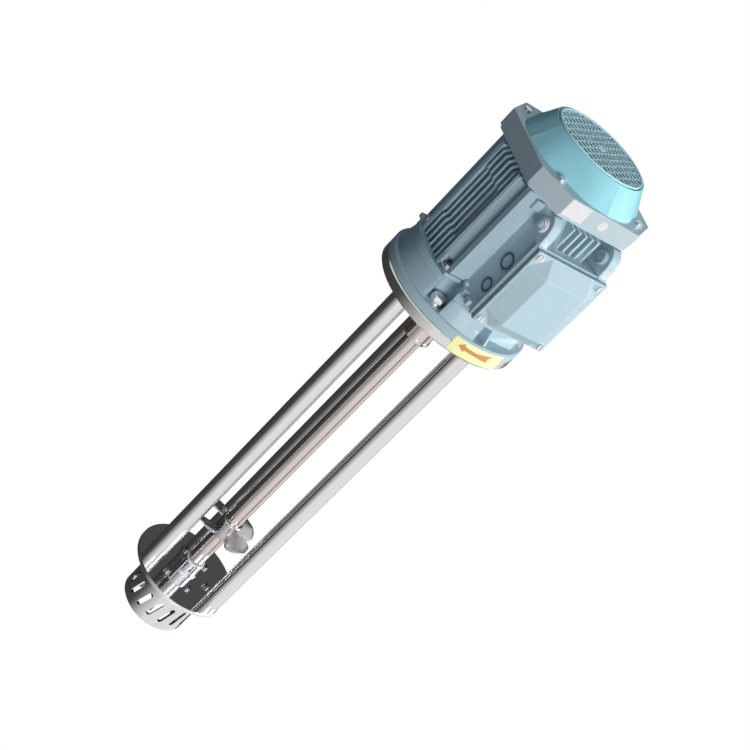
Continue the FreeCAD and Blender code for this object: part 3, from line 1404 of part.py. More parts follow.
doc.recompute()
for item in doc.Objects:
    if "Invalid" in item.State or "Error" in item.State:
        raise RuntimeError(f"{item.Name} ({item.Label}) failed: {item.State}")
os.makedirs("parts", exist_ok=True)
for item in sub_parts:
    if item.Shape.isNull() or not item.Shape.isValid():
        raise RuntimeError(f"{item.Label} has no valid shape")
    item.Shape.exportStep(os.path.join("parts", f"{item.Label}.step"))
    print(f"{item.Label}: {len(item.Shape.Solids)} solid(s), {item.Shape.Volume / 1000:.1f} cm3")
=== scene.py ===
# %% [markdown]
# # High shear homogenizer mixer
#
# The imported CAD model already holds every solid of the mixer, each on the body that it moves with. This lesson
# gives those solids their finish, rounds the edges that the real castings and turned parts have, and adds what is
# too fine for the solids. The first line after the imports loads the model, with every node where it belongs.

import json
import math

import bmesh
import bpy
from mathutils import Matrix, Vector

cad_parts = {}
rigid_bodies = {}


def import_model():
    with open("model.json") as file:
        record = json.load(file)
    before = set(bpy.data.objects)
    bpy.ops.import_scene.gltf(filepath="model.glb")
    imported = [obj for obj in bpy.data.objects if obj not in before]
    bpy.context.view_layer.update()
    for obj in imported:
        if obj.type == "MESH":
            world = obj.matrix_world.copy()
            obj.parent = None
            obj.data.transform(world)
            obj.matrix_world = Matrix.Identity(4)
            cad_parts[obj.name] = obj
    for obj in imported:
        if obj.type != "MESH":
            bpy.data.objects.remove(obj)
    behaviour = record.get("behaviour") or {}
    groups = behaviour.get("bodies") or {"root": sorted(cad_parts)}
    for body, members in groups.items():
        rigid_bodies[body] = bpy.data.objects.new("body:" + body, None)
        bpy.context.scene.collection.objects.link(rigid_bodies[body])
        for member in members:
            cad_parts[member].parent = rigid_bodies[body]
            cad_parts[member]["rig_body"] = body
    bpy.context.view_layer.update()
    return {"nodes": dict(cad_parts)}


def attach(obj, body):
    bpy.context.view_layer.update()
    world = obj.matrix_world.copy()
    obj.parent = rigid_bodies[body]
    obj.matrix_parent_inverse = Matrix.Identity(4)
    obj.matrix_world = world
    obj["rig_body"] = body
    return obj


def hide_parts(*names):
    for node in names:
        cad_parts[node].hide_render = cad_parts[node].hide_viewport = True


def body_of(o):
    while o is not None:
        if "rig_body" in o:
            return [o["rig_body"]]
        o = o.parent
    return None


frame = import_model()
scene = bpy.context.scene
MM = 0.001

# %% [markdown]
# ## Camera
#
# The photograph shows the mixer lying across the frame. The part itself stands upright, so the camera is rolled
# instead: it stands to the left of the terminal box, looks down by 26 degrees and is turned about its own axis.
# A rotation matrix built from the three camera directions says this more plainly than three Euler angles would.

# %% Place the camera
CAMERA_PLACE = Vector((1.3935, -1.2113, 0.7836))
CAMERA_FORWARD = Vector((-0.6768, 0.5869, -0.4445)).normalized()
CAMERA_ROLL = math.radians(44.63)
CAMERA_LENS = 80.75
CAMERA_SENSOR = 36
CAMERA_REACH = 50

level_right = CAMERA_FORWARD.cross(Vector((0, 0, 1))).normalized()
level_up = level_right.cross(CAMERA_FORWARD)
right = level_right * math.cos(CAMERA_ROLL) + level_up * math.sin(CAMERA_ROLL)
up = level_up * math.cos(CAMERA_ROLL) - level_right * math.sin(CAMERA_ROLL)
camera_data = bpy.data.cameras.new("camera")
camera_data.lens = CAMERA_LENS
camera_data.sensor_width = CAMERA_SENSOR
camera_data.clip_end = CAMERA_REACH
camera = bpy.data.objects.new("camera", camera_data)
scene.collection.objects.link(camera)
turn = Matrix((right, up, -CAMERA_FORWARD)).transposed()
camera.matrix_world = Matrix.Translation(CAMERA_PLACE) @ turn.to_4x4()
scene.camera = camera
scene.view_settings.view_transform = "Standard"
print("camera at", CAMERA_PLACE[:])

# %% [markdown]
# ## Light, world and floor
#
# The catalogue photograph has a pure white ground, a strong soft light on the terminal box side and shade on the
# finned side. Camera, mirror and transmission rays see a white world, while the light that falls on the paint comes
# from a dimmer one, so the ground stays white without washing out the colours.

# %% Build the world
SOFT_COLOUR = (0.46, 0.72, 1.0, 1)
SOFT_STRENGTH = 0.095


def sees_white(tree, *rays):
    """A mask that is 1 for the named kinds of ray, which are shown plain white, and 0 for all others."""
    path = tree.nodes.new("ShaderNodeLightPath")
    mask = path.outputs[rays[0]]
    for ray in rays[1:]:
        either = tree.nodes.new("ShaderNodeMath")
        either.operation = "ADD"
        either.use_clamp = True
        tree.links.new(mask, either.inputs[0])
        tree.links.new(path.outputs[ray], either.inputs[1])
        mask = either.outputs[0]
    return mask


world = bpy.data.worlds.new("studio")
scene.world = world
world.use_nodes = True
nodes = world.node_tree.nodes
links = world.node_tree.links
nodes.clear()
soft_light = nodes.new("ShaderNodeBackground")
soft_light.inputs["Color"].default_value = SOFT_COLOUR
soft_light.inputs["Strength"].default_value = SOFT_STRENGTH
white_ground = nodes.new("ShaderNodeBackground")
white_ground.inputs["Color"].default_value = (1, 1, 1, 1)
white_ground.inputs["Strength"].default_value = 1.0
choose = nodes.new("ShaderNodeMixShader")
links.new(sees_white(world.node_tree, "Is Camera Ray", "Is Glossy Ray", "Is Transmission Ray"), choose.inputs[0])
links.new(soft_light.outputs[0], choose.inputs[1])
links.new(white_ground.outputs[0], choose.inputs[2])
out = nodes.new("ShaderNodeOutputWorld")
links.new(choose.outputs[0], out.inputs["Surface"])
print("world: soft light", SOFT_STRENGTH)


# %% Hang the lamps
def area_lamp(name, place, target, size, watts, colour):
    """A square soft box that points at a target."""
    data = bpy.data.lights.new(name, "AREA")
    data.shape = "SQUARE"
    data.size = size
    data.energy = watts
    data.color = colour
    lamp = bpy.data.objects.new(name, data)
    lamp.location = place
    lamp.rotation_euler = (Vector(target) - Vector(place)).to_track_quat("-Z", "Y").to_euler()
    scene.collection.objects.link(lamp)
    return lamp


WARM_WHITE = (1.0, 0.99, 0.97)
COOL_WHITE = (0.95, 0.98, 1.0)
SKY_BLUE = (0.70, 0.87, 1.0)
LAMPS = (
    ("key_lamp", (2.25, -0.42, 0.45), (0, 0, 0.05), 0.9, 36, WARM_WHITE),
    ("side_lamp", (1.2, 1.95, 0.5), (0, 0, 0.2), 1.2, 44, WARM_WHITE),
    ("top_lamp", (0.3, 0.1, 2.0), (0, 0, 0.2), 1.0, 5, COOL_WHITE),
    ("fill_lamp", (-0.6, -2.2, 0.2), (0, 0, -0.2), 1.4, 0.9, SKY_BLUE),
)
for lamp in LAMPS:
    area_lamp(*lamp)

# %% [markdown]
# The floor lies well below the head, because the mixer hangs from its plate, and so far down that the upright walls of
# the head mirror the grey card and not the floor. To the camera and to mirror rays it shows its own white; the rest of
# the light sees a plain pale surface.

# %% Lay the floor
FLOOR_LEVEL = -1.75
FLOOR_HALF = 12
shape = bmesh.new()
bmesh.ops.create_grid(shape, x_segments=1, y_segments=1, size=FLOOR_HALF)
bmesh.ops.translate(shape, verts=shape.verts, vec=(0, 0, FLOOR_LEVEL))
floor_mesh = bpy.data.meshes.new("floor")
shape.to_mesh(floor_mesh)
shape.free()
floor = bpy.data.objects.new("floor", floor_mesh)
scene.collection.objects.link(floor)
floor_material = bpy.data.materials.new("floor_white")
floor_material.use_nodes = True
nodes = floor_material.node_tree.nodes
links = floor_material.node_tree.links
paper = nodes["Principled BSDF"]
paper.inputs["Base Color"].default_value = (0.9, 0.9, 0.9, 1)
paper.inputs["Roughness"].default_value = 0.9
glow = nodes.new("ShaderNodeEmission")
glow.inputs["Strength"].default_value = 1.0
mix = nodes.new("ShaderNodeMixShader")
links.new(sees_white(floor_material.node_tree, "Is Camera Ray", "Is Glossy Ray"), mix.inputs[0])
links.new(paper.outputs[0], mix.inputs[1])
links.new(glow.outputs[0], mix.inputs[2])
links.new(mix.outputs[0], nodes["Material Output"].inputs["Surface"])
floor_mesh.materials.append(floor_material)
print("floor at", FLOOR_LEVEL)

# %% [markdown]
# Bright steel shows its surroundings. In a white room every bar would be white, so a photographer stands a grey card
# beside the set: the bars then carry one dark side that fades into a white one. The card here is part of a cylinder
# that only mirror rays see. Its glow is dark over most of the arc and grows to white near the end that faces the lamp.

# %% Stand the grey card
CARD_RADIUS = 0.78
CARD_START = 99
CARD_END = 326
CARD_TOP = 0.45
CARD_STEPS = 72
CARD_SHADES = ((0.10, 0.09), (0.40, 0.045), (0.74, 0.075), (0.97, 0.8))
CARD_FIRST_SHADE = 0.30
shape = bmesh.new()
card_turn = math.radians(CARD_START)
first = Vector((CARD_RADIUS * math.cos(card_turn), CARD_RADIUS * math.sin(card_turn), 0))
foot = shape.verts.new(first + Vector((0, 0, FLOOR_LEVEL)))
head = shape.verts.new(first + Vector((0, 0, CARD_TOP)))
edge = shape.edges.new((foot, head))
bmesh.ops.spin(shape, geom=[edge, foot, head], cent=(0, 0, 0), axis=(0, 0, 1), steps=CARD_STEPS,
               angle=math.radians(CARD_END - CARD_START))
card_mesh = bpy.data.meshes.new("grey_card")
shape.to_mesh(card_mesh)
shape.free()
card = bpy.data.objects.new("grey_card", card_mesh)
scene.collection.objects.link(card)
card.visible_camera = False
card.visible_diffuse = False
card.visible_transmission = False
card.visible_volume_scatter = False
card.visible_shadow = False
card_material = bpy.data.materials.new("grey_card")
card_material.use_nodes = True
nodes = card_material.node_tree.nodes
links = card_material.node_tree.links
nodes.remove(nodes["Principled BSDF"])
place = nodes.new("ShaderNodeTexCoord")
turned_back = nodes.new("ShaderNodeMapping")
turned_back.inputs["Rotation"].default_value = (0, 0, -math.radians(CARD_START + 180))
links.new(place.outputs["Object"], turned_back.inputs["Vector"])
sweep = nodes.new("ShaderNodeTexGradient")
sweep.gradient_type = "RADIAL"
links.new(turned_back.outputs["Vector"], sweep.inputs["Vector"])
shades = nodes.new("ShaderNodeValToRGB")
links.new(sweep.outputs["Fac"], shades.inputs["Fac"])
share = (CARD_END - CARD_START) / 360
marks = shades.color_ramp.elements
marks[0].position = 0.0
marks[0].color = (CARD_FIRST_SHADE, CARD_FIRST_SHADE, CARD_FIRST_SHADE, 1)
marks[1].position = 1.0
marks[1].color = (1, 1, 1, 1)
for spot, shade in CARD_SHADES:
    mark = marks.new(spot * share)
    mark.color = (shade, shade, shade, 1)
glow = nodes.new("ShaderNodeEmission")
links.new(shades.outputs["Color"], glow.inputs["Color"])
links.new(glow.outputs[0], nodes["Material Output"].inputs["Surface"])
card_mesh.materials.append(card_material)
print("card from", CARD_START, "to", CARD_END, "degrees")

# %% [markdown]
# ## Finishes
#
# Four effects come back in many materials, so each is a shader node group that is built once: a soft mottle between
# two colours, a fine cast or sprayed texture, the drawn lines of a polished bar, and the rings that a lathe leaves.
# Groups only give out colours and heights. The shader itself stays in each material, where its plain numbers are set
# on its own sockets.

# %% Helpers for node trees
def new_group(name, inputs, outputs):
    """An empty shader group with named sockets; returns the group, its input node and its output node."""
    group = bpy.data.node_groups.new(name, "ShaderNodeTree")
    for label, kind, start in inputs:
        socket = group.interface.new_socket(name=label, in_out="INPUT", socket_type=kind)
        if start is not None:
            socket.default_value = start
    for label, kind in outputs:
        group.interface.new_socket(name=label, in_out="OUTPUT", socket_type=kind)
    return group, group.nodes.new("NodeGroupInput"), group.nodes.new("NodeGroupOutput")


def math_node(tree, operation, first, second=None):
    """A Math node whose inputs are sockets or numbers."""
    node = tree.nodes.new("ShaderNodeMath")
    node.operation = operation
    for socket, source in zip(node.inputs, (first, second)):
        if source is None:
            continue
        if isinstance(source, (int, float)):
            socket.default_value = source
        else:
            tree.links.new(source, socket)
    return node.outputs[0]


def noise_node(tree, vector, scale, detail=3.0, roughness=0.5):
    """A Noise Texture between 0 and 1; its scale is a number or a socket."""
    node = tree.nodes.new("ShaderNodeTexNoise")
    tree.links.new(vector, node.inputs["Vector"])
    if isinstance(scale, (int, float)):
        node.inputs["Scale"].default_value = scale
    else:
        tree.links.new(scale, node.inputs["Scale"])
    node.inputs["Detail"].default_value = detail
    node.inputs["Roughness"].default_value = roughness
    return node.outputs["Fac"]


def mix_colours(tree, mask, first, second):
    """The first colour where the mask is 0 and the second where it is 1; each is a colour or a socket."""
    node = tree.nodes.new("ShaderNodeMix")
    node.data_type = "RGBA"
    tree.links.new(mask, node.inputs["Factor"])
    for socket, source in ((node.inputs["A"], first), (node.inputs["B"], second)):
        if isinstance(source, (tuple, list)):
            socket.default_value = (*source, 1)
        else:
            tree.links.new(source, socket)
    return node.outputs["Result"]


print("helpers ready")

# %% The mottle group
mottle, enter, leave = new_group(
    "mottle",
    [("Vector", "NodeSocketVector", None), ("Scale", "NodeSocketFloat", 30.0),
     ("Light", "NodeSocketColor", (1, 1, 1, 1)), ("Dark", "NodeSocketColor", (0.5, 0.5, 0.5, 1))],
    [("Color", "NodeSocketColor"), ("Mask", "NodeSocketFloat")],
)
cloud = noise_node(mottle, enter.outputs["Vector"], enter.outputs["Scale"], detail=4.0, roughness=0.55)
mottle.links.new(mix_colours(mottle, cloud, enter.outputs["Dark"], enter.outputs["Light"]), leave.inputs["Color"])
mottle.links.new(cloud, leave.inputs["Mask"])
print(mottle.name, "made")

# %% The sprayed texture group
sprayed, enter, leave = new_group(
    "sprayed",
    [("Vector", "NodeSocketVector", None), ("Scale", "NodeSocketFloat", 900.0)],
    [("Height", "NodeSocketFloat")],
)
grains = noise_node(sprayed, enter.outputs["Vector"], enter.outputs["Scale"], detail=2.0, roughness=0.6)
sprayed.links.new(grains, leave.inputs["Height"])
print(sprayed.name, "made")

# %% The drawn lines group
LINE_STRETCH = 60
BROAD_LINES = 60.0
drawn, enter, leave = new_group(
    "drawn_lines",
    [("Vector", "NodeSocketVector", None), ("Scale", "NodeSocketFloat", 400.0)],
    [("Height", "NodeSocketFloat"), ("Mask", "NodeSocketFloat")],
)
stretch = drawn.nodes.new("ShaderNodeMapping")
stretch.inputs["Scale"].default_value = (1, 1, 1 / LINE_STRETCH)
drawn.links.new(enter.outputs["Vector"], stretch.inputs["Vector"])
fine = noise_node(drawn, stretch.outputs["Vector"], enter.outputs["Scale"], roughness=0.6)
drawn.links.new(fine, leave.inputs["Height"])
broad = noise_node(drawn, stretch.outputs["Vector"], BROAD_LINES, detail=2.0)
drawn.links.new(broad, leave.inputs["Mask"])
print(drawn.name, "made")

# %% The lathe rings group
BROAD_RINGS = 90.0
rings, enter, leave = new_group(
    "lathe_rings",
    [("Vector", "NodeSocketVector", None), ("Pitch", "NodeSocketFloat", 1500.0)],
    [("Height", "NodeSocketFloat"), ("Mask", "NodeSocketFloat")],
)
parts = rings.nodes.new("ShaderNodeSeparateXYZ")
rings.links.new(enter.outputs["Vector"], parts.inputs[0])
square_x = math_node(rings, "MULTIPLY", parts.outputs["X"], parts.outputs["X"])
square_y = math_node(rings, "MULTIPLY", parts.outputs["Y"], parts.outputs["Y"])
radius = math_node(rings, "SQRT", math_node(rings, "ADD", square_x, square_y))
across = math_node(rings, "ADD", radius, parts.outputs["Z"])
join = rings.nodes.new("ShaderNodeCombineXYZ")
rings.links.new(across, join.inputs["X"])
grooves = noise_node(rings, join.outputs[0], enter.outputs["Pitch"], detail=2.0, roughness=0.7)
rings.links.new(grooves, leave.inputs["Height"])
broad = noise_node(rings, join.outputs[0], BROAD_RINGS, detail=2.0)
rings.links.new(broad, leave.inputs["Mask"])
print(rings.name, "made")


# %% A base for every material
COAT_ROUGHNESS = 0.12


def material_base(name, metallic, roughness, coat=0.0):
    """A new material with its Principled shader and Object coordinates."""
    material = bpy.data.materials.new(name)
    material.use_nodes = True
    tree = material.node_tree
    shader = tree.nodes["Principled BSDF"]
    shader.inputs["Metallic"].default_value = metallic
    shader.inputs["Roughness"].default_value = roughness
    shader.inputs["Coat Weight"].default_value = coat
    shader.inputs["Coat Roughness"].default_value = COAT_ROUGHNESS
    place = tree.nodes.new("ShaderNodeTexCoord").outputs["Object"]
    return material, tree, shader, place


def put_group(tree, group, vector, **values):
    """Places a group in a material; values are set on its inputs."""
    node = tree.nodes.new("ShaderNodeGroup")
    node.node_tree = group
    tree.links.new(vector, node.inputs["Vector"])
    for label, number in values.items():
        node.inputs[label].default_value = number
    return node


def add_bump(tree, shader, height, strength, depth):
    """Raises the surface by a height between 0 and 1 times the depth, which is in metres."""
    bump = tree.nodes.new("ShaderNodeBump")
    bump.inputs["Strength"].default_value = strength
    bump.inputs["Distance"].default_value = depth
    tree.links.new(height, bump.inputs["Height"])
    tree.links.new(bump.outputs["Normal"], shader.inputs["Normal"])


def spread(tree, mask, low, high):
    """Maps a mask from 0..1 to low..high."""
    node = tree.nodes.new("ShaderNodeMapRange")
    tree.links.new(mask, node.inputs["Value"])
    node.inputs["To Min"].default_value = low
    node.inputs["To Max"].default_value = high
    return node.outputs["Result"]


print("base ready")

# %% [markdown]
# Three recipes cover the mixer. Enamel has a clear gloss over a finely grained skin. Bare metal takes its colour and
# its roughness from the lines of its making. Rubber, plastic, zinc and windings are a mottled colour over a grain. The
# fan cover is one enamel, but its folded band is coloured greyer than its skirt, which is painted shade.

# %% The recipes
PAINT_MOTTLE = 35.0
PAINT_COAT = 0.12
PAINT_GLOSS = 0.3
PAINT_SPREAD = (-0.06, 0.08)
SKIN_DEPTH = 0.0004
METAL_SPREAD = (0.7, 1.4)
LINE_DEPTH = 0.0001
PLAIN_SPREAD = (0.8, 1.2)
GRAIN_FINER = 20
GRAIN_DEPTH = 0.0002
BAND_SHADE_MEET = (-0.001, 0.002)


def paint(name, light, dark, roughness, grain, strength):
    """Sprayed enamel on a casting or pressing: a faint mottle, a fine skin and a thin clear gloss."""
    material, tree, shader, place = material_base(name, 0.0, roughness, PAINT_COAT)
    shader.inputs["Specular IOR Level"].default_value = PAINT_GLOSS
    colour = put_group(tree, mottle, place, Scale=PAINT_MOTTLE, Light=(*light, 1), Dark=(*dark, 1))
    tree.links.new(colour.outputs["Color"], shader.inputs["Base Color"])
    low, high = PAINT_SPREAD
    tree.links.new(spread(tree, colour.outputs["Mask"], roughness + low, roughness + high), shader.inputs["Roughness"])
    skin = put_group(tree, sprayed, place, Scale=grain)
    add_bump(tree, shader, skin.outputs["Height"], strength, SKIN_DEPTH)
    return material


def metal(name, light, dark, roughness, group, strength, **values):
    """Bare metal with the lines that its making left."""
    material, tree, shader, place = material_base(name, 1.0, roughness)
    lines = put_group(tree, group, place, **values)
    tree.links.new(mix_colours(tree, lines.outputs["Mask"], dark, light), shader.inputs["Base Color"])
    low, high = METAL_SPREAD
    tree.links.new(spread(tree, lines.outputs["Mask"], roughness * low, roughness * high), shader.inputs["Roughness"])
    add_bump(tree, shader, lines.outputs["Height"], strength, LINE_DEPTH)
    return material


def plain(name, light, dark, metallic, roughness, scale, strength):
    """Rubber, plastic, zinc or windings: a mottled colour over a fine grain."""
    material, tree, shader, place = material_base(name, metallic, roughness)
    colour = put_group(tree, mottle, place, Scale=scale, Light=(*light, 1), Dark=(*dark, 1))
    tree.links.new(colour.outputs["Color"], shader.inputs["Base Color"])
    low, high = PLAIN_SPREAD
    tree.links.new(spread(tree, colour.outputs["Mask"], roughness * low, roughness * high), shader.inputs["Roughness"])
    grain = put_group(tree, sprayed, place, Scale=scale * GRAIN_FINER)
    add_bump(tree, shader, grain.outputs["Height"], strength, GRAIN_DEPTH)
    return material


def paint_band_shade(material, band_light, band_dark, level):
    """Painted shade on the fan cover: the one enamel is coloured greyer below the level, where the sheet is folded into
    the band.
    """
    tree = material.node_tree
    shader = tree.nodes["Principled BSDF"]
    place = tree.nodes.new("ShaderNodeTexCoord").outputs["Object"]
    parts = tree.nodes.new("ShaderNodeSeparateXYZ")
    tree.links.new(place, parts.inputs[0])
    rise = tree.nodes.new("ShaderNodeMapRange")
    tree.links.new(parts.outputs["Z"], rise.inputs["Value"])
    rise.inputs["From Min"].default_value = level + BAND_SHADE_MEET[0]
    rise.inputs["From Max"].default_value = level + BAND_SHADE_MEET[1]
    band = put_group(tree, mottle, place, Scale=PAINT_MOTTLE, Light=(*band_light, 1), Dark=(*band_dark, 1))
    skirt = shader.inputs["Base Color"].links[0].from_socket
    tree.links.new(mix_colours(tree, rise.outputs["Result"], band.outputs["Color"], skirt), shader.inputs["Base Color"])


print("recipes ready")

# %% Mix the finishes
FINISHES = {
    "frame_paint": paint("frame_paint", (0.45, 0.59, 0.65), (0.39, 0.53, 0.60), 0.42, 1400.0, 0.35),
    "lid_paint": paint("lid_paint", (0.44, 0.58, 0.64), (0.40, 0.54, 0.60), 0.38, 1000.0, 0.2),
    # Painted light: the grille takes a lighter copy of the cover's enamel, for light that its upward faces lack.
    "grille_lit_paint": paint("grille_lit_paint", (0.62, 0.96, 1.0), (0.54, 0.90, 0.97), 0.34, 900.0, 0.15),
    "cover_paint": paint("cover_paint", (0.36, 0.74, 0.81), (0.29, 0.68, 0.77), 0.34, 900.0, 0.15),
    "drawn_steel": metal("drawn_steel", (0.80, 0.79, 0.78), (0.66, 0.65, 0.64), 0.13, drawn, 0.08, Scale=500.0),
    "shaft_steel": metal("shaft_steel", (0.72, 0.66, 0.64), (0.58, 0.52, 0.50), 0.17, drawn, 0.12, Scale=420.0),
    "turned_steel": metal("turned_steel", (0.78, 0.77, 0.76), (0.62, 0.61, 0.60), 0.18, rings, 0.25, Pitch=1500.0),
    "mirror_steel": metal("mirror_steel", (0.84, 0.85, 0.88), (0.72, 0.73, 0.76), 0.07, rings, 0.08, Pitch=900.0),
    "machined_steel": metal("machined_steel", (0.62, 0.62, 0.62), (0.45, 0.45, 0.46), 0.28, rings, 0.4, Pitch=1800.0),
    "zinc": plain("zinc", (0.80, 0.81, 0.82), (0.62, 0.63, 0.64), 1.0, 0.3, 120.0, 0.3),
    "head_steel": metal("head_steel", (0.80, 0.79, 0.78), (0.66, 0.65, 0.65), 0.15, drawn, 0.05, Scale=420.0),
    "blade_steel": metal("blade_steel", (0.58, 0.57, 0.58), (0.40, 0.39, 0.40), 0.24, rings, 0.15, Pitch=700.0),
    "dark_steel": metal("dark_steel", (0.30, 0.29, 0.29), (0.18, 0.17, 0.17), 0.35, rings, 0.2, Pitch=1500.0),
    "plug_plastic": plain("plug_plastic", (0.92, 0.95, 0.98), (0.84, 0.88, 0.92), 0.0, 0.3, 120.0, 0.1),
    # Painted shade: a dark paint on the knock-out rings stands for the shadow inside their cast grooves.
    "groove_shade_paint": paint("groove_shade_paint", (0.07, 0.11, 0.15), (0.05, 0.08, 0.12), 0.42, 1400.0, 0.3),
    "inside_paint": paint("inside_paint", (0.40, 0.88, 0.94), (0.34, 0.82, 0.90), 0.5, 900.0, 0.2),
    "grey_rubber": plain("grey_rubber", (0.12, 0.19, 0.23), (0.08, 0.14, 0.18), 0.0, 0.6, 200.0, 0.4),
    "fan_plastic": plain("fan_plastic", (0.24, 0.80, 0.88), (0.18, 0.72, 0.80), 0.0, 0.45, 90.0, 0.2),
    "black_rubber": plain("black_rubber", (0.035, 0.035, 0.036), (0.02, 0.02, 0.02), 0.0, 0.6, 200.0, 0.4),
    "black_plastic": plain("black_plastic", (0.05, 0.05, 0.055), (0.03, 0.03, 0.032), 0.0, 0.45, 90.0, 0.2),
    "white_plastic": plain("white_plastic", (0.80, 0.79, 0.75), (0.70, 0.69, 0.64), 0.0, 0.4, 90.0, 0.2),
    "brass": plain("brass", (0.75, 0.56, 0.24), (0.60, 0.42, 0.16), 1.0, 0.25, 150.0, 0.2),
    "cast_aluminium": plain("cast_aluminium", (0.72, 0.73, 0.74), (0.56, 0.57, 0.58), 1.0, 0.4, 100.0, 0.5),
    "laminations": metal("laminations", (0.40, 0.40, 0.41), (0.22, 0.22, 0.23), 0.4, rings, 0.6, Pitch=2200.0),
    "winding": plain("winding", (0.50, 0.17, 0.05), (0.28, 0.08, 0.02), 0.0, 0.3, 160.0, 0.8),
    "yellow_film": plain("yellow_film", (0.97, 0.94, 0.52), (0.95, 0.91, 0.42), 0.0, 0.35, 60.0, 0.1),
    "arrow_ink": plain("arrow_ink", (0.72, 0.34, 0.14), (0.50, 0.20, 0.05), 0.0, 0.45, 45.0, 0.1),
    "white_film": plain("white_film", (0.70, 0.70, 0.72), (0.64, 0.64, 0.67), 0.0, 0.4, 50.0, 0.1),
}
BAND_TOP = 0.236
# Painted shade: the band is coloured greyer than the skirt, though the cover is one enamel.
paint_band_shade(FINISHES["cover_paint"], (0.47, 0.56, 0.59), (0.43, 0.52, 0.56), BAND_TOP)
print(len(FINISHES), "finishes")

# %% [markdown]
# Each CAD node takes one of these finishes through its material slot. Long bars get the drawn lines, round turned
# pieces the lathe rings.

# %% Give every CAD node its finish
NODE_FINISH = {
    "drawn_steel": ("support_rod_1", "support_rod_2", "support_rod_3"),
    "shaft_steel": ("mixer_shaft",),
    "head_steel": ("stator_head",),
    "dark_steel": ("shear_rotor", "stator_screws", "rod_bottom_screws", "socket_set_screws", "propeller_set_screw"),
    "turned_steel": ("mounting_plate", "rotor_nut", "rod_top_screws", "rotor_drive_pin"),
    "mirror_steel": ("lower_disc", "propeller", "front_bearing_balls", "rear_bearing_balls"),
    "machined_steel": ("motor_shaft", "shaft_key", "front_bearing_inner_ring", "front_bearing_outer_ring",
                       "front_bearing_cage", "rear_bearing_inner_ring", "rear_bearing_outer_ring",
                       "rear_bearing_cage", "preload_washer", "fan_retaining_ring"),
    "frame_paint": ("motor_frame", "front_end_shield", "rear_end_shield"),
    "lid_paint": ("terminal_box_lid",),
    "cover_paint": ("fan_cover", "air_grille"),
    "zinc": ("flange_bolts", "flange_washers", "flange_spring_washers", "end_shield_screws", "rear_shield_screws",
             "lid_screws", "fan_cover_screws"),
    "black_rubber": ("shaft_seal", "motor_shaft_seal"),
    "grey_rubber": ("terminal_box_gasket",),
    "fan_plastic": ("cooling_fan",),
    "black_plastic": ("terminal_block",),
    "white_plastic": ("lower_bushing",),
    "brass": ("terminal_studs", "terminal_nuts"),
    "cast_aluminium": ("rotor_cage",),
    "laminations": ("rotor_core", "stator_core"),
    "winding": ("stator_winding",),
    "yellow_film": ("rotation_sticker",),
}
dressed = set()
for finish, names in NODE_FINISH.items():
    for name in names:
        for holder in frame["nodes"][name].material_slots:
            holder.material = FINISHES[finish]
        dressed.add(name)
print("dressed", len(dressed), "nodes; left bare:", sorted(set(frame["nodes"]) - dressed))

# %% [markdown]
# ## Rounded edges
#
# A casting or a pressing has no knife edges: the foundry and the press leave a radius of a millimetre or so, and the
# radius is what catches the light. The solids have sharp edges, so the large castings are copied here, their loose
# triangles are merged, and a Bevel modifier rounds the long sharp edges. Weights on the edges choose them, because an
# angle alone would also take the short edges round every bolt hole. The copy then stands for its node. The copy of
# the fan cover leaves out the skirt, which is drawn further down, and the lower disc loses a slice on its right side.

# %% Two cuts that a copy may need
BAND_CLEAR = 0.2
FLAT_TURN = math.radians(49)
FLAT_REACH = 67.6
TOUCHING = 1e-6


def close_holes(shape):
    """Fills every open rim with a face."""
    bmesh.ops.holes_fill(shape, edges=[edge for edge in shape.edges if edge.is_boundary])


def cut_away(shape, point, outwards):
    """Takes away what lies beyond a plane and closes the cut."""
    bmesh.ops.bisect_plane(shape, geom=shape.verts[:] + shape.edges[:] + shape.faces[:], plane_co=point,
                           plane_no=outwards, dist=TOUCHING, clear_outer=True)
    close_holes(shape)


def leave_out_skirt(shape):
    """Takes away the fan cover above its band."""
    skirt = [face for face in shape.faces if face.calc_center_median().z > BAND_TOP + BAND_CLEAR * MM]
    bmesh.ops.delete(shape, geom=skirt, context="FACES")


def slice_right_side(shape):
    """Takes a slice off the lower disc."""
    outwards = Vector((math.cos(FLAT_TURN), math.sin(FLAT_TURN), 0))
    cut_away(shape, outwards * FLAT_REACH * MM, outwards)


print("flat of the lower disc", FLAT_REACH, "mm from the axis")

# %% Round the castings and the pressing
MERGE = 2e-6
LONG_EDGE = 6.0
SHARP_TURN = math.radians(30)
SMOOTH_TURN = math.radians(24)
ROUNDED = {
    "motor_frame": (1.5, None),
    "front_end_shield": (0.8, None),
    "rear_end_shield": (0.6, None),
    "fan_cover": (0.8, leave_out_skirt),
    "cooling_fan": (0.4, None),
    "lower_disc": (0.4, slice_right_side),
}


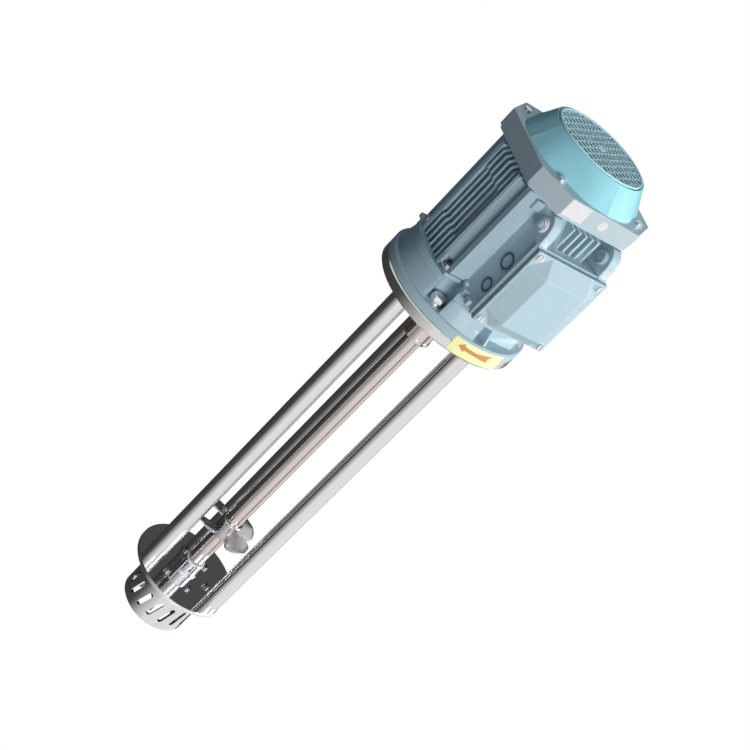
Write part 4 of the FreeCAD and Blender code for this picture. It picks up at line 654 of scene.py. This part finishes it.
def rounded_copy(name, radius, cut):
    """A copy of a CAD node, cut where it has to be, with rounded edges; it stands for the node."""
    node = frame["nodes"][name]
    shape = bmesh.new()
    shape.from_mesh(node.data)
    bmesh.ops.remove_doubles(shape, verts=shape.verts, dist=MERGE)
    if cut:
        cut(shape)
    weight = shape.edges.layers.float.new("bevel_weight_edge")
    for face in shape.faces:
        face.smooth = True
    for edge in shape.edges:
        turn = edge.calc_face_angle_signed(0.0)
        edge.smooth = abs(turn) < SMOOTH_TURN
        if turn > SHARP_TURN and edge.calc_length() > LONG_EDGE * MM:
            edge[weight] = 1.0
    mesh = bpy.data.meshes.new(f"rounded_{name}")
    shape.to_mesh(mesh)
    shape.free()
    for holder in node.material_slots:
        mesh.materials.append(holder.material)
    piece = bpy.data.objects.new(f"rounded_{name}", mesh)
    scene.collection.objects.link(piece)
    bevel = piece.modifiers.new("rounding", "BEVEL")
    bevel.width = radius * MM
    bevel.segments = 3
    bevel.limit_method = "WEIGHT"
    bevel.use_clamp_overlap = False
    bevel.harden_normals = True
    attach(piece, body_of(node)[0])
    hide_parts(name)
    return piece


for name, (radius, cut) in ROUNDED.items():
    piece = rounded_copy(name, radius, cut)
    print(piece.name, len(piece.data.polygons), "faces")

# %% [markdown]
# ## Terminal box lid
#
# The lid is a casting: a flat rim with a low crown that slopes on all four sides, and a flat ear at each corner where a
# screw goes through. The crown is a block whose far face is smaller, and a slanting cut takes each of its corners off,
# so that the creases between the slopes run out in the ears. Points moved by hand could give the same form, but a
# block and four cuts keep every slope truly flat.

# %% Helpers that finish a piece
def round_off(piece, width, segments=2, least=30, smooth=True):
    """Rounds the edges that turn by at least so many degrees, with a Bevel modifier; the width is in millimetres."""
    bevel = piece.modifiers.new("rounding", "BEVEL")
    bevel.width = width * MM
    bevel.segments = segments
    bevel.limit_method = "ANGLE"
    bevel.angle_limit = math.radians(least)
    bevel.harden_normals = smooth
    for face in piece.data.polygons:
        face.use_smooth = smooth


def give_wall(piece, thickness, offset=-1):
    """Gives a sheet its thickness in millimetres: inwards with an offset of -1, to both sides with 0."""
    wall = piece.modifiers.new("wall", "SOLIDIFY")
    wall.thickness = thickness * MM
    wall.offset = offset
    return wall


def add_piece(name, shape, finish, body="frame", rounding=0.0, segments=2, least=30):
    """Links a bmesh as a finished piece that rides on a body."""
    bmesh.ops.recalc_face_normals(shape, faces=shape.faces)
    mesh = bpy.data.meshes.new(name)
    shape.to_mesh(mesh)
    shape.free()
    mesh.materials.append(FINISHES[finish])
    piece = bpy.data.objects.new(name, mesh)
    scene.collection.objects.link(piece)
    if rounding:
        round_off(piece, rounding, segments, least)
    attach(piece, body)
    print(name, len(mesh.polygons), "faces")
    return piece


def tapered_block(shape, near, near_outline, far, far_outline):
    """A block along X whose ends may differ: an outline is (left, right, lowest, highest), in millimetres."""
    for vert in bmesh.ops.create_cube(shape, size=2)["verts"]:
        x, outline = (far, far_outline) if vert.co.x > 0 else (near, near_outline)
        left, right, low, high = outline
        vert.co = Vector((x, right if vert.co.y > 0 else left, high if vert.co.z > 0 else low)) * MM


print("helpers ready")

# %% Build the lid
LID_UNDER = 107.0
CROWN_UNDER = 110.5
LID_RIM = 111.0
LID_TOP = 125.0
RIM_OUTLINE = (-55.0, 55.0, 60.8, 173.0)
CROWN_OUTLINE = (-53.4, 53.4, 61.6, 172.4)
FACE_OUTLINE = (-30.0, 32.5, 77.6, 152.0)
EAR = 21.0

shape = bmesh.new()
tapered_block(shape, CROWN_UNDER, CROWN_OUTLINE, LID_TOP, FACE_OUTLINE)
for side, inwards in ((0, 1), (1, -1)):
    for level, rise in ((2, 1), (3, -1)):
        corner_y, corner_z = CROWN_OUTLINE[side], CROWN_OUTLINE[level]
        upright = Vector((CROWN_UNDER, corner_y, corner_z + rise * EAR)) * MM
        along = Vector((CROWN_UNDER, corner_y + inwards * EAR, corner_z)) * MM
        top = Vector((LID_TOP, FACE_OUTLINE[side], FACE_OUTLINE[level])) * MM
        outwards = (along - upright).cross(top - upright).normalized()
        if outwards.y * inwards > 0:
            outwards = -outwards
        cut_away(shape, upright, outwards)
tapered_block(shape, LID_UNDER, RIM_OUTLINE, LID_RIM, RIM_OUTLINE)
lid = add_piece("lid_casting", shape, "lid_paint", rounding=0.9, segments=3, least=24)
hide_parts("terminal_box_lid")

# %% [markdown]
# ## Small forms of the frame casting
#
# Round the mouth of the terminal box runs a lip, which shows as a bright line between two dark ones. The wall carries
# two knock-out rings, a domed plug, two small pads near the foot and a square lug at the top; the cheek on the other
# side has a drilled boss. A broad rib stands between the fins and the shoulder on each side. Each of these is a block,
# a raised section or a spun profile that sits on the casting. The knock-out rings are raised and painted dark: the
# dark paint is painted shade, standing for the shadow in the cast grooves of the real rings. They could be joined to
# the copied casting with a Boolean, but separate pieces keep their own rounding and their own finish.

# %% Add the lip, the lugs and the pads
BOX_OUTLINE = (-56.4, 56.4, 60.7, 174.2)
LIP_DEPTH = (97.6, 102.0)
LIP_WALL = 2.4
END_ON = 0.9
shape = bmesh.new()
tapered_block(shape, LIP_DEPTH[0], BOX_OUTLINE, LIP_DEPTH[1], BOX_OUTLINE)
bmesh.ops.delete(shape, geom=[face for face in shape.faces if abs(face.normal.x) > END_ON], context="FACES_ONLY")
lip = add_piece("box_lip", shape, "frame_paint")
give_wall(lip, LIP_WALL)
round_off(lip, 0.6, smooth=False)

BLOCKS = {
    "box_top_lug_left": ((57.0, 64.5), (-67.0, -54.5, 190.0, 203.5)),
    "box_top_lug_right": ((57.0, 64.5), (54.5, 67.0, 190.0, 203.5)),
    "box_pad_inner": ((67.8, 74.6), (-60.6, -54.5, 62.4, 70.2)),
    "box_pad_outer": ((83.4, 91.4), (-60.6, -54.5, 62.0, 69.8)),
}
for name, ((near, far), outline) in BLOCKS.items():
    shape = bmesh.new()
    tapered_block(shape, near, outline, far, outline)
    add_piece(name, shape, "frame_paint", rounding=0.9)

# %% Add the broad ribs beside the shoulders
BROAD_RIB = ((27.0, 62.0), (27.0, 83.2), (29.5, 85.3), (45.0, 76.4), (45.0, 62.0))
BROAD_RIB_FOOT = 79.0
BROAD_RIB_HEAD = 203.0


def raise_faces(shape, by):
    """Extrudes a flat outline by a vector, which closes it to a block."""
    raised = bmesh.ops.extrude_face_region(shape, geom=shape.faces[:])["geom"]
    bmesh.ops.translate(shape, verts=[item for item in raised if isinstance(item, bmesh.types.BMVert)], vec=by)


for name, side in (("broad_rib_front", -1), ("broad_rib_back", 1)):
    shape = bmesh.new()
    shape.faces.new([shape.verts.new(Vector((x, side * y, BROAD_RIB_FOOT)) * MM) for x, y in BROAD_RIB])
    raise_faces(shape, (0, 0, (BROAD_RIB_HEAD - BROAD_RIB_FOOT) * MM))
    add_piece(name, shape, "frame_paint", rounding=2.0, segments=4)


# %% Add the rings, the plug and the drilled boss
def spun(profile, steps):
    """A profile of (radius, height) in millimetres, spun about the mixer's axis."""
    shape = bmesh.new()
    verts = [shape.verts.new((radius * MM, 0, height * MM)) for radius, height in profile]
    edges = [shape.edges.new(pair) for pair in zip(verts, verts[1:])]
    bmesh.ops.spin(shape, geom=verts + edges, cent=(0, 0, 0), axis=(0, 0, 1), steps=steps, angle=math.tau,
                   use_merge=True)
    bmesh.ops.remove_doubles(shape, verts=shape.verts, dist=TOUCHING)
    return shape


def spun_on_wall(profile, place, steps=40):
    """A spun profile that is closed at its foot and stands out of a wall towards -Y; place is in millimetres."""
    shape = spun(profile, steps)
    close_holes(shape)
    bmesh.ops.rotate(shape, verts=shape.verts, matrix=Matrix.Rotation(math.radians(90), 3, "X"))
    bmesh.ops.translate(shape, verts=shape.verts, vec=Vector(place) * MM)
    return shape


RING = ((-1.5, -0.5), (-1.5, 0.5), (-0.9, 1.0), (0.9, 1.0), (1.5, 0.5), (1.5, -0.5), (-1.5, -0.5))
RINGS = {"knockout_ring_large": (9.4, (84.4, -55, 131.2)), "knockout_ring_small": (7.6, (87.2, -55, 95.4))}
# The rings take the dark paint as painted shade for their grooves.
for name, (middle, place) in RINGS.items():
    profile = [(middle + across, rise) for across, rise in RING]
    add_piece(name, spun_on_wall(profile, place), "groove_shade_paint", rounding=0.2)
DOME = ((9.0, -1.0), (9.0, 1.6), (7.6, 2.2), (7.2, 1.2), (6.6, 1.2), (6.0, 3.4), (3.4, 4.9), (0.0, 5.4))
add_piece("box_plug", spun_on_wall(DOME, (84.4, -55, 190.3)), "plug_plastic", rounding=0.2)
BOSS = ((9.0, -1.0), (9.0, 4.2), (8.2, 5.0), (5.4, 5.0), (4.6, 4.2), (4.6, 0.2), (0.0, 0.2))
add_piece("drilled_boss", spun_on_wall(BOSS, (84.6, 42, 190.3)), "frame_paint", rounding=0.2)

# %% [markdown]
# ## Fan cover skirt and grille
#
# The skirt of the fan cover is drawn from a soft square up to a round crown in one sweep, with a faint crease in the
# middle of each side. A circle is extruded downwards and its lower loop is pushed out to the square, so the wall
# between them is ruled, as drawn sheet is. The band keeps the CAD mesh. The grille is a flat net of two families of
# strips: broad ones, and narrow ones that cross them a little lower, each strip as long as the round rim allows. A
# pattern in a material would look the same from afar, but the real grille is open and shows the fan.

# %% Lay out the foot of the skirt
FOOT_RADIUS = 84.5
FOOT_CORNERS = 1.0
FOOT_FLANKS = 1.25
CREASE_RISE = 2.0
CREASE_REACH = 5


def off_middle(turn):
    """Degrees between a direction and the middle of the nearest side."""
    return abs((turn + 45) % 90 - 45)


def foot_radius(turn):
    """Radius of the skirt's foot in millimetres: wide near the sides, drawn in at the corners."""
    around = math.radians(turn)
    radius = FOOT_RADIUS + FOOT_CORNERS * math.cos(4 * around) - FOOT_FLANKS * math.cos(8 * around)
    return radius + CREASE_RISE * math.exp(-off_middle(turn) / CREASE_REACH)


print("foot of the skirt:", round(foot_radius(0), 1), "mm at a side,", round(foot_radius(45), 1), "mm at a corner")

# %% Draw the skirt
CROWN_RADIUS = 65.0
CROWN_LEVEL = 268.0
SKIRT_LEVEL = 235.6
SKIRT_STEP = 2.5
SKIRT_WALL = 2.4
CREASE_HALF = 0.5
shape = bmesh.new()
crown = bmesh.ops.create_circle(shape, segments=int(360 / SKIRT_STEP), radius=CROWN_RADIUS * MM)["verts"]
bmesh.ops.translate(shape, verts=crown, vec=(0, 0, CROWN_LEVEL * MM))
foot = [item for item in bmesh.ops.extrude_edge_only(shape, edges=shape.edges[:])["geom"]
        if isinstance(item, bmesh.types.BMVert)]
for vert in foot:
    turn = math.atan2(vert.co.y, vert.co.x)
    radius = foot_radius(math.degrees(turn)) * MM
    vert.co = Vector((radius * math.cos(turn), radius * math.sin(turn), SKIRT_LEVEL * MM))
uprights = [edge for edge in shape.edges if abs(edge.verts[0].co.z - edge.verts[1].co.z) > MM]
bmesh.ops.subdivide_edges(shape, edges=uprights, cuts=3)
for edge in shape.edges:
    turn = math.degrees(math.atan2(edge.verts[0].co.y, edge.verts[0].co.x))
    upright = abs(edge.verts[0].co.z - edge.verts[1].co.z) > MM
    edge.smooth = not (upright and off_middle(turn) < CREASE_HALF)
skirt = add_piece("cover_skirt", shape, "cover_paint")
skirt.data.materials.append(FINISHES["inside_paint"])
wall = give_wall(skirt, SKIRT_WALL)
wall.material_offset = 1
round_off(skirt, 0.7, least=40)

# %% Weave the grille
NET_PITCH = 9.4
NET_EACH_SIDE = 6
NET_TURN = 31
NET_RADIUS = 60.5
# Each family has its further turn in degrees, the width of its strips, and their lowest and highest level.
NET_FAMILIES = ((0, 4.2, 268.0, 268.6), (90, 2.2, 267.7, 268.3))
shape = bmesh.new()
for turn, width, low, high in NET_FAMILIES:
    spin = Matrix.Rotation(math.radians(NET_TURN + turn), 3, "Z")
    for number in range(-NET_EACH_SIDE, NET_EACH_SIDE + 1):
        half = math.sqrt(NET_RADIUS ** 2 - (abs(number) * NET_PITCH + width / 2) ** 2)
        strip = bmesh.ops.create_cube(shape, size=1)["verts"]
        bmesh.ops.scale(shape, verts=strip, vec=Vector((2 * half, width, high - low)) * MM)
        bmesh.ops.translate(shape, verts=strip, vec=Vector((0, number * NET_PITCH, (low + high) / 2)) * MM)
        bmesh.ops.rotate(shape, verts=strip, matrix=spin)
# The strips, rim and hub of the grille take the lighter enamel, which is painted light.
net = add_piece("grille_net", shape, "grille_lit_paint")
RIM = ((59.4, 266.8), (62.2, 266.8), (62.2, 268.9), (61.6, 269.2), (60.0, 269.2), (59.4, 268.6), (59.4, 266.8))
add_piece("grille_rim", spun(RIM, 96), "grille_lit_paint", rounding=0.2)
HUB = ((0.0, 266.9), (6.4, 266.9), (6.4, 268.2), (5.4, 268.9), (3.0, 269.1), (2.2, 268.5), (0.0, 268.4))
add_piece("grille_hub", spun(HUB, 36), "grille_lit_paint", rounding=0.2)
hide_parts("air_grille")

# %% [markdown]
# ## Propeller
#
# Above the head a small propeller drives the liquid down to the rotor. Its four blades are broad, set flat at the tip
# and steeper at the hub, as on any screw. Each starts as a flat grid, whose rows become arcs about the shaft and whose
# sides are lifted and lowered by the pitch. A thick block would have to be twisted on both faces, so the blade stays a
# sheet until a modifier gives it its thickness. The hub is a spun profile.

# %% Turn the propeller
BLADES = 4
BLADE_START = 13
BLADE_ROOT = 14.0
BLADE_TIP = 44.0
BLADE_SPAN = math.radians(72)
BLADE_ROUND = 0.985
BLADE_NARROW = 0.62
PITCH_ROOT = math.radians(34)
PITCH_TIP = math.radians(9)
BLADE_CAMBER = 2.0
BLADE_WALL = 2.2
PROPELLER_LEVEL = -441.0


def blade(shape, start):
    """One twisted blade, from a grid whose X runs across it and whose Y runs outwards."""
    for vert in bmesh.ops.create_grid(shape, x_segments=10, y_segments=12, size=1)["verts"]:
        across, share = vert.co.x, (vert.co.y + 1) / 2
        distance = BLADE_ROOT + (BLADE_TIP - BLADE_ROOT) * share
        half = BLADE_SPAN / 2 * math.sqrt(1 - (share * BLADE_ROUND) ** 4)
        half *= BLADE_NARROW + (1 - BLADE_NARROW) * share
        pitch = PITCH_ROOT + (PITCH_TIP - PITCH_ROOT) * share
        turn = start + across * half
        lift = across * half * distance * math.tan(pitch) + BLADE_CAMBER * (1 - across * across) * share
        vert.co = Vector((distance * math.cos(turn), distance * math.sin(turn), PROPELLER_LEVEL + lift)) * MM


shape = bmesh.new()
for number in range(BLADES):
    blade(shape, math.radians(BLADE_START + number * 360 / BLADES))
blades = add_piece("propeller_blades", shape, "blade_steel", "shaft")
give_wall(blades, BLADE_WALL, offset=0)
round_off(blades, 0.6, least=50)
COLLAR = ((11.55, -455.0), (14.0, -455.0), (15.5, -453.5), (15.5, -428.5), (14.0, -427.0), (11.55, -427.0),
          (11.55, -455.0))
add_piece("propeller_collar", spun(COLLAR, 64), "blade_steel", "shaft", rounding=0.4)
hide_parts("propeller")

# %% [markdown]
# ## Stickers
#
# The arrow shows which way the motor has to turn. It is printed on the yellow film, so it is a thin skin just proud of
# it: a flat outline, sliced upright so that it can follow the round rim, then wrapped round it. A mask in the film's
# material could draw it too, but a skin keeps a crisp edge at any size.

# %% Print the arrow on the yellow film
FILM_RADIUS = 101.36
SLICE = 1.5
INK_THICK = 0.05
# The corners of the arrow: degrees round the mixer's axis, and level in millimetres.
ARROW = ((-17, 15), (-13.6, 20.6), (-11.5, 17.6), (-2, 17), (4, 18.6), (11.5, 20.6), (9, 15.2), (10.5, 10.2), (4, 10.8),
         (-2, 12), (-11.2, 13), (-11, 9.6))
shape = bmesh.new()
shape.faces.new([shape.verts.new((turn, 0, level)) for turn, level in ARROW])
turns = [turn for turn, level in ARROW]
spot = min(turns) + SLICE
while spot < max(turns):
    bmesh.ops.bisect_plane(shape, geom=shape.verts[:] + shape.edges[:] + shape.faces[:], plane_co=(spot, 0, 0),
                           plane_no=(1, 0, 0))
    spot += SLICE
for vert in shape.verts:
    turn = math.radians(vert.co.x)
    vert.co = Vector((FILM_RADIUS * math.cos(turn), FILM_RADIUS * math.sin(turn), vert.co.z)) * MM
bmesh.ops.recalc_face_normals(shape, faces=shape.faces)
bmesh.ops.solidify(shape, geom=shape.faces[:], thickness=INK_THICK * MM)
add_piece("turning_arrow", shape, "arrow_ink")

# %% [markdown]
# The band of the fan cover carries a paper label and a small round inspection dot. Both stay blank. Each is a flat
# outline with rounded corners, laid on the side that faces the terminal box and raised by the film's thickness.

# %% Stick the blank labels on the band
BAND_FACE = 88.0
FILM_THICK = 0.12
LABEL_SIZE = (21.5, 31.0)
LABEL_PLACE = (-37.4, 224.0)
LABEL_CORNER = 1.0
DOT_RADIUS = 6.2
DOT_PLACE = (5.0, 223.8)


def stick_on_band(name, shape, place):
    """Lays a flat outline on the band and gives it its thickness; place is its Y and Z in millimetres."""
    bmesh.ops.rotate(shape, verts=shape.verts, matrix=Matrix.Rotation(math.radians(90), 3, "Y"))
    bmesh.ops.translate(shape, verts=shape.verts, vec=Vector((BAND_FACE, *place)) * MM)
    raise_faces(shape, (FILM_THICK * MM, 0, 0))
    add_piece(name, shape, "white_film")


shape = bmesh.new()
bmesh.ops.create_grid(shape, x_segments=1, y_segments=1, size=0.5)
bmesh.ops.scale(shape, verts=shape.verts, vec=(LABEL_SIZE[0] * MM, LABEL_SIZE[1] * MM, 1))
bmesh.ops.bevel(shape, geom=shape.verts, offset=LABEL_CORNER * MM, affect="VERTICES", segments=3, profile=0.5,
                material=-1)
stick_on_band("paper_label", shape, LABEL_PLACE)
shape = bmesh.new()
bmesh.ops.create_circle(shape, cap_ends=True, segments=36, radius=DOT_RADIUS * MM)
stick_on_band("inspection_dot", shape, DOT_PLACE)

# %% [markdown]
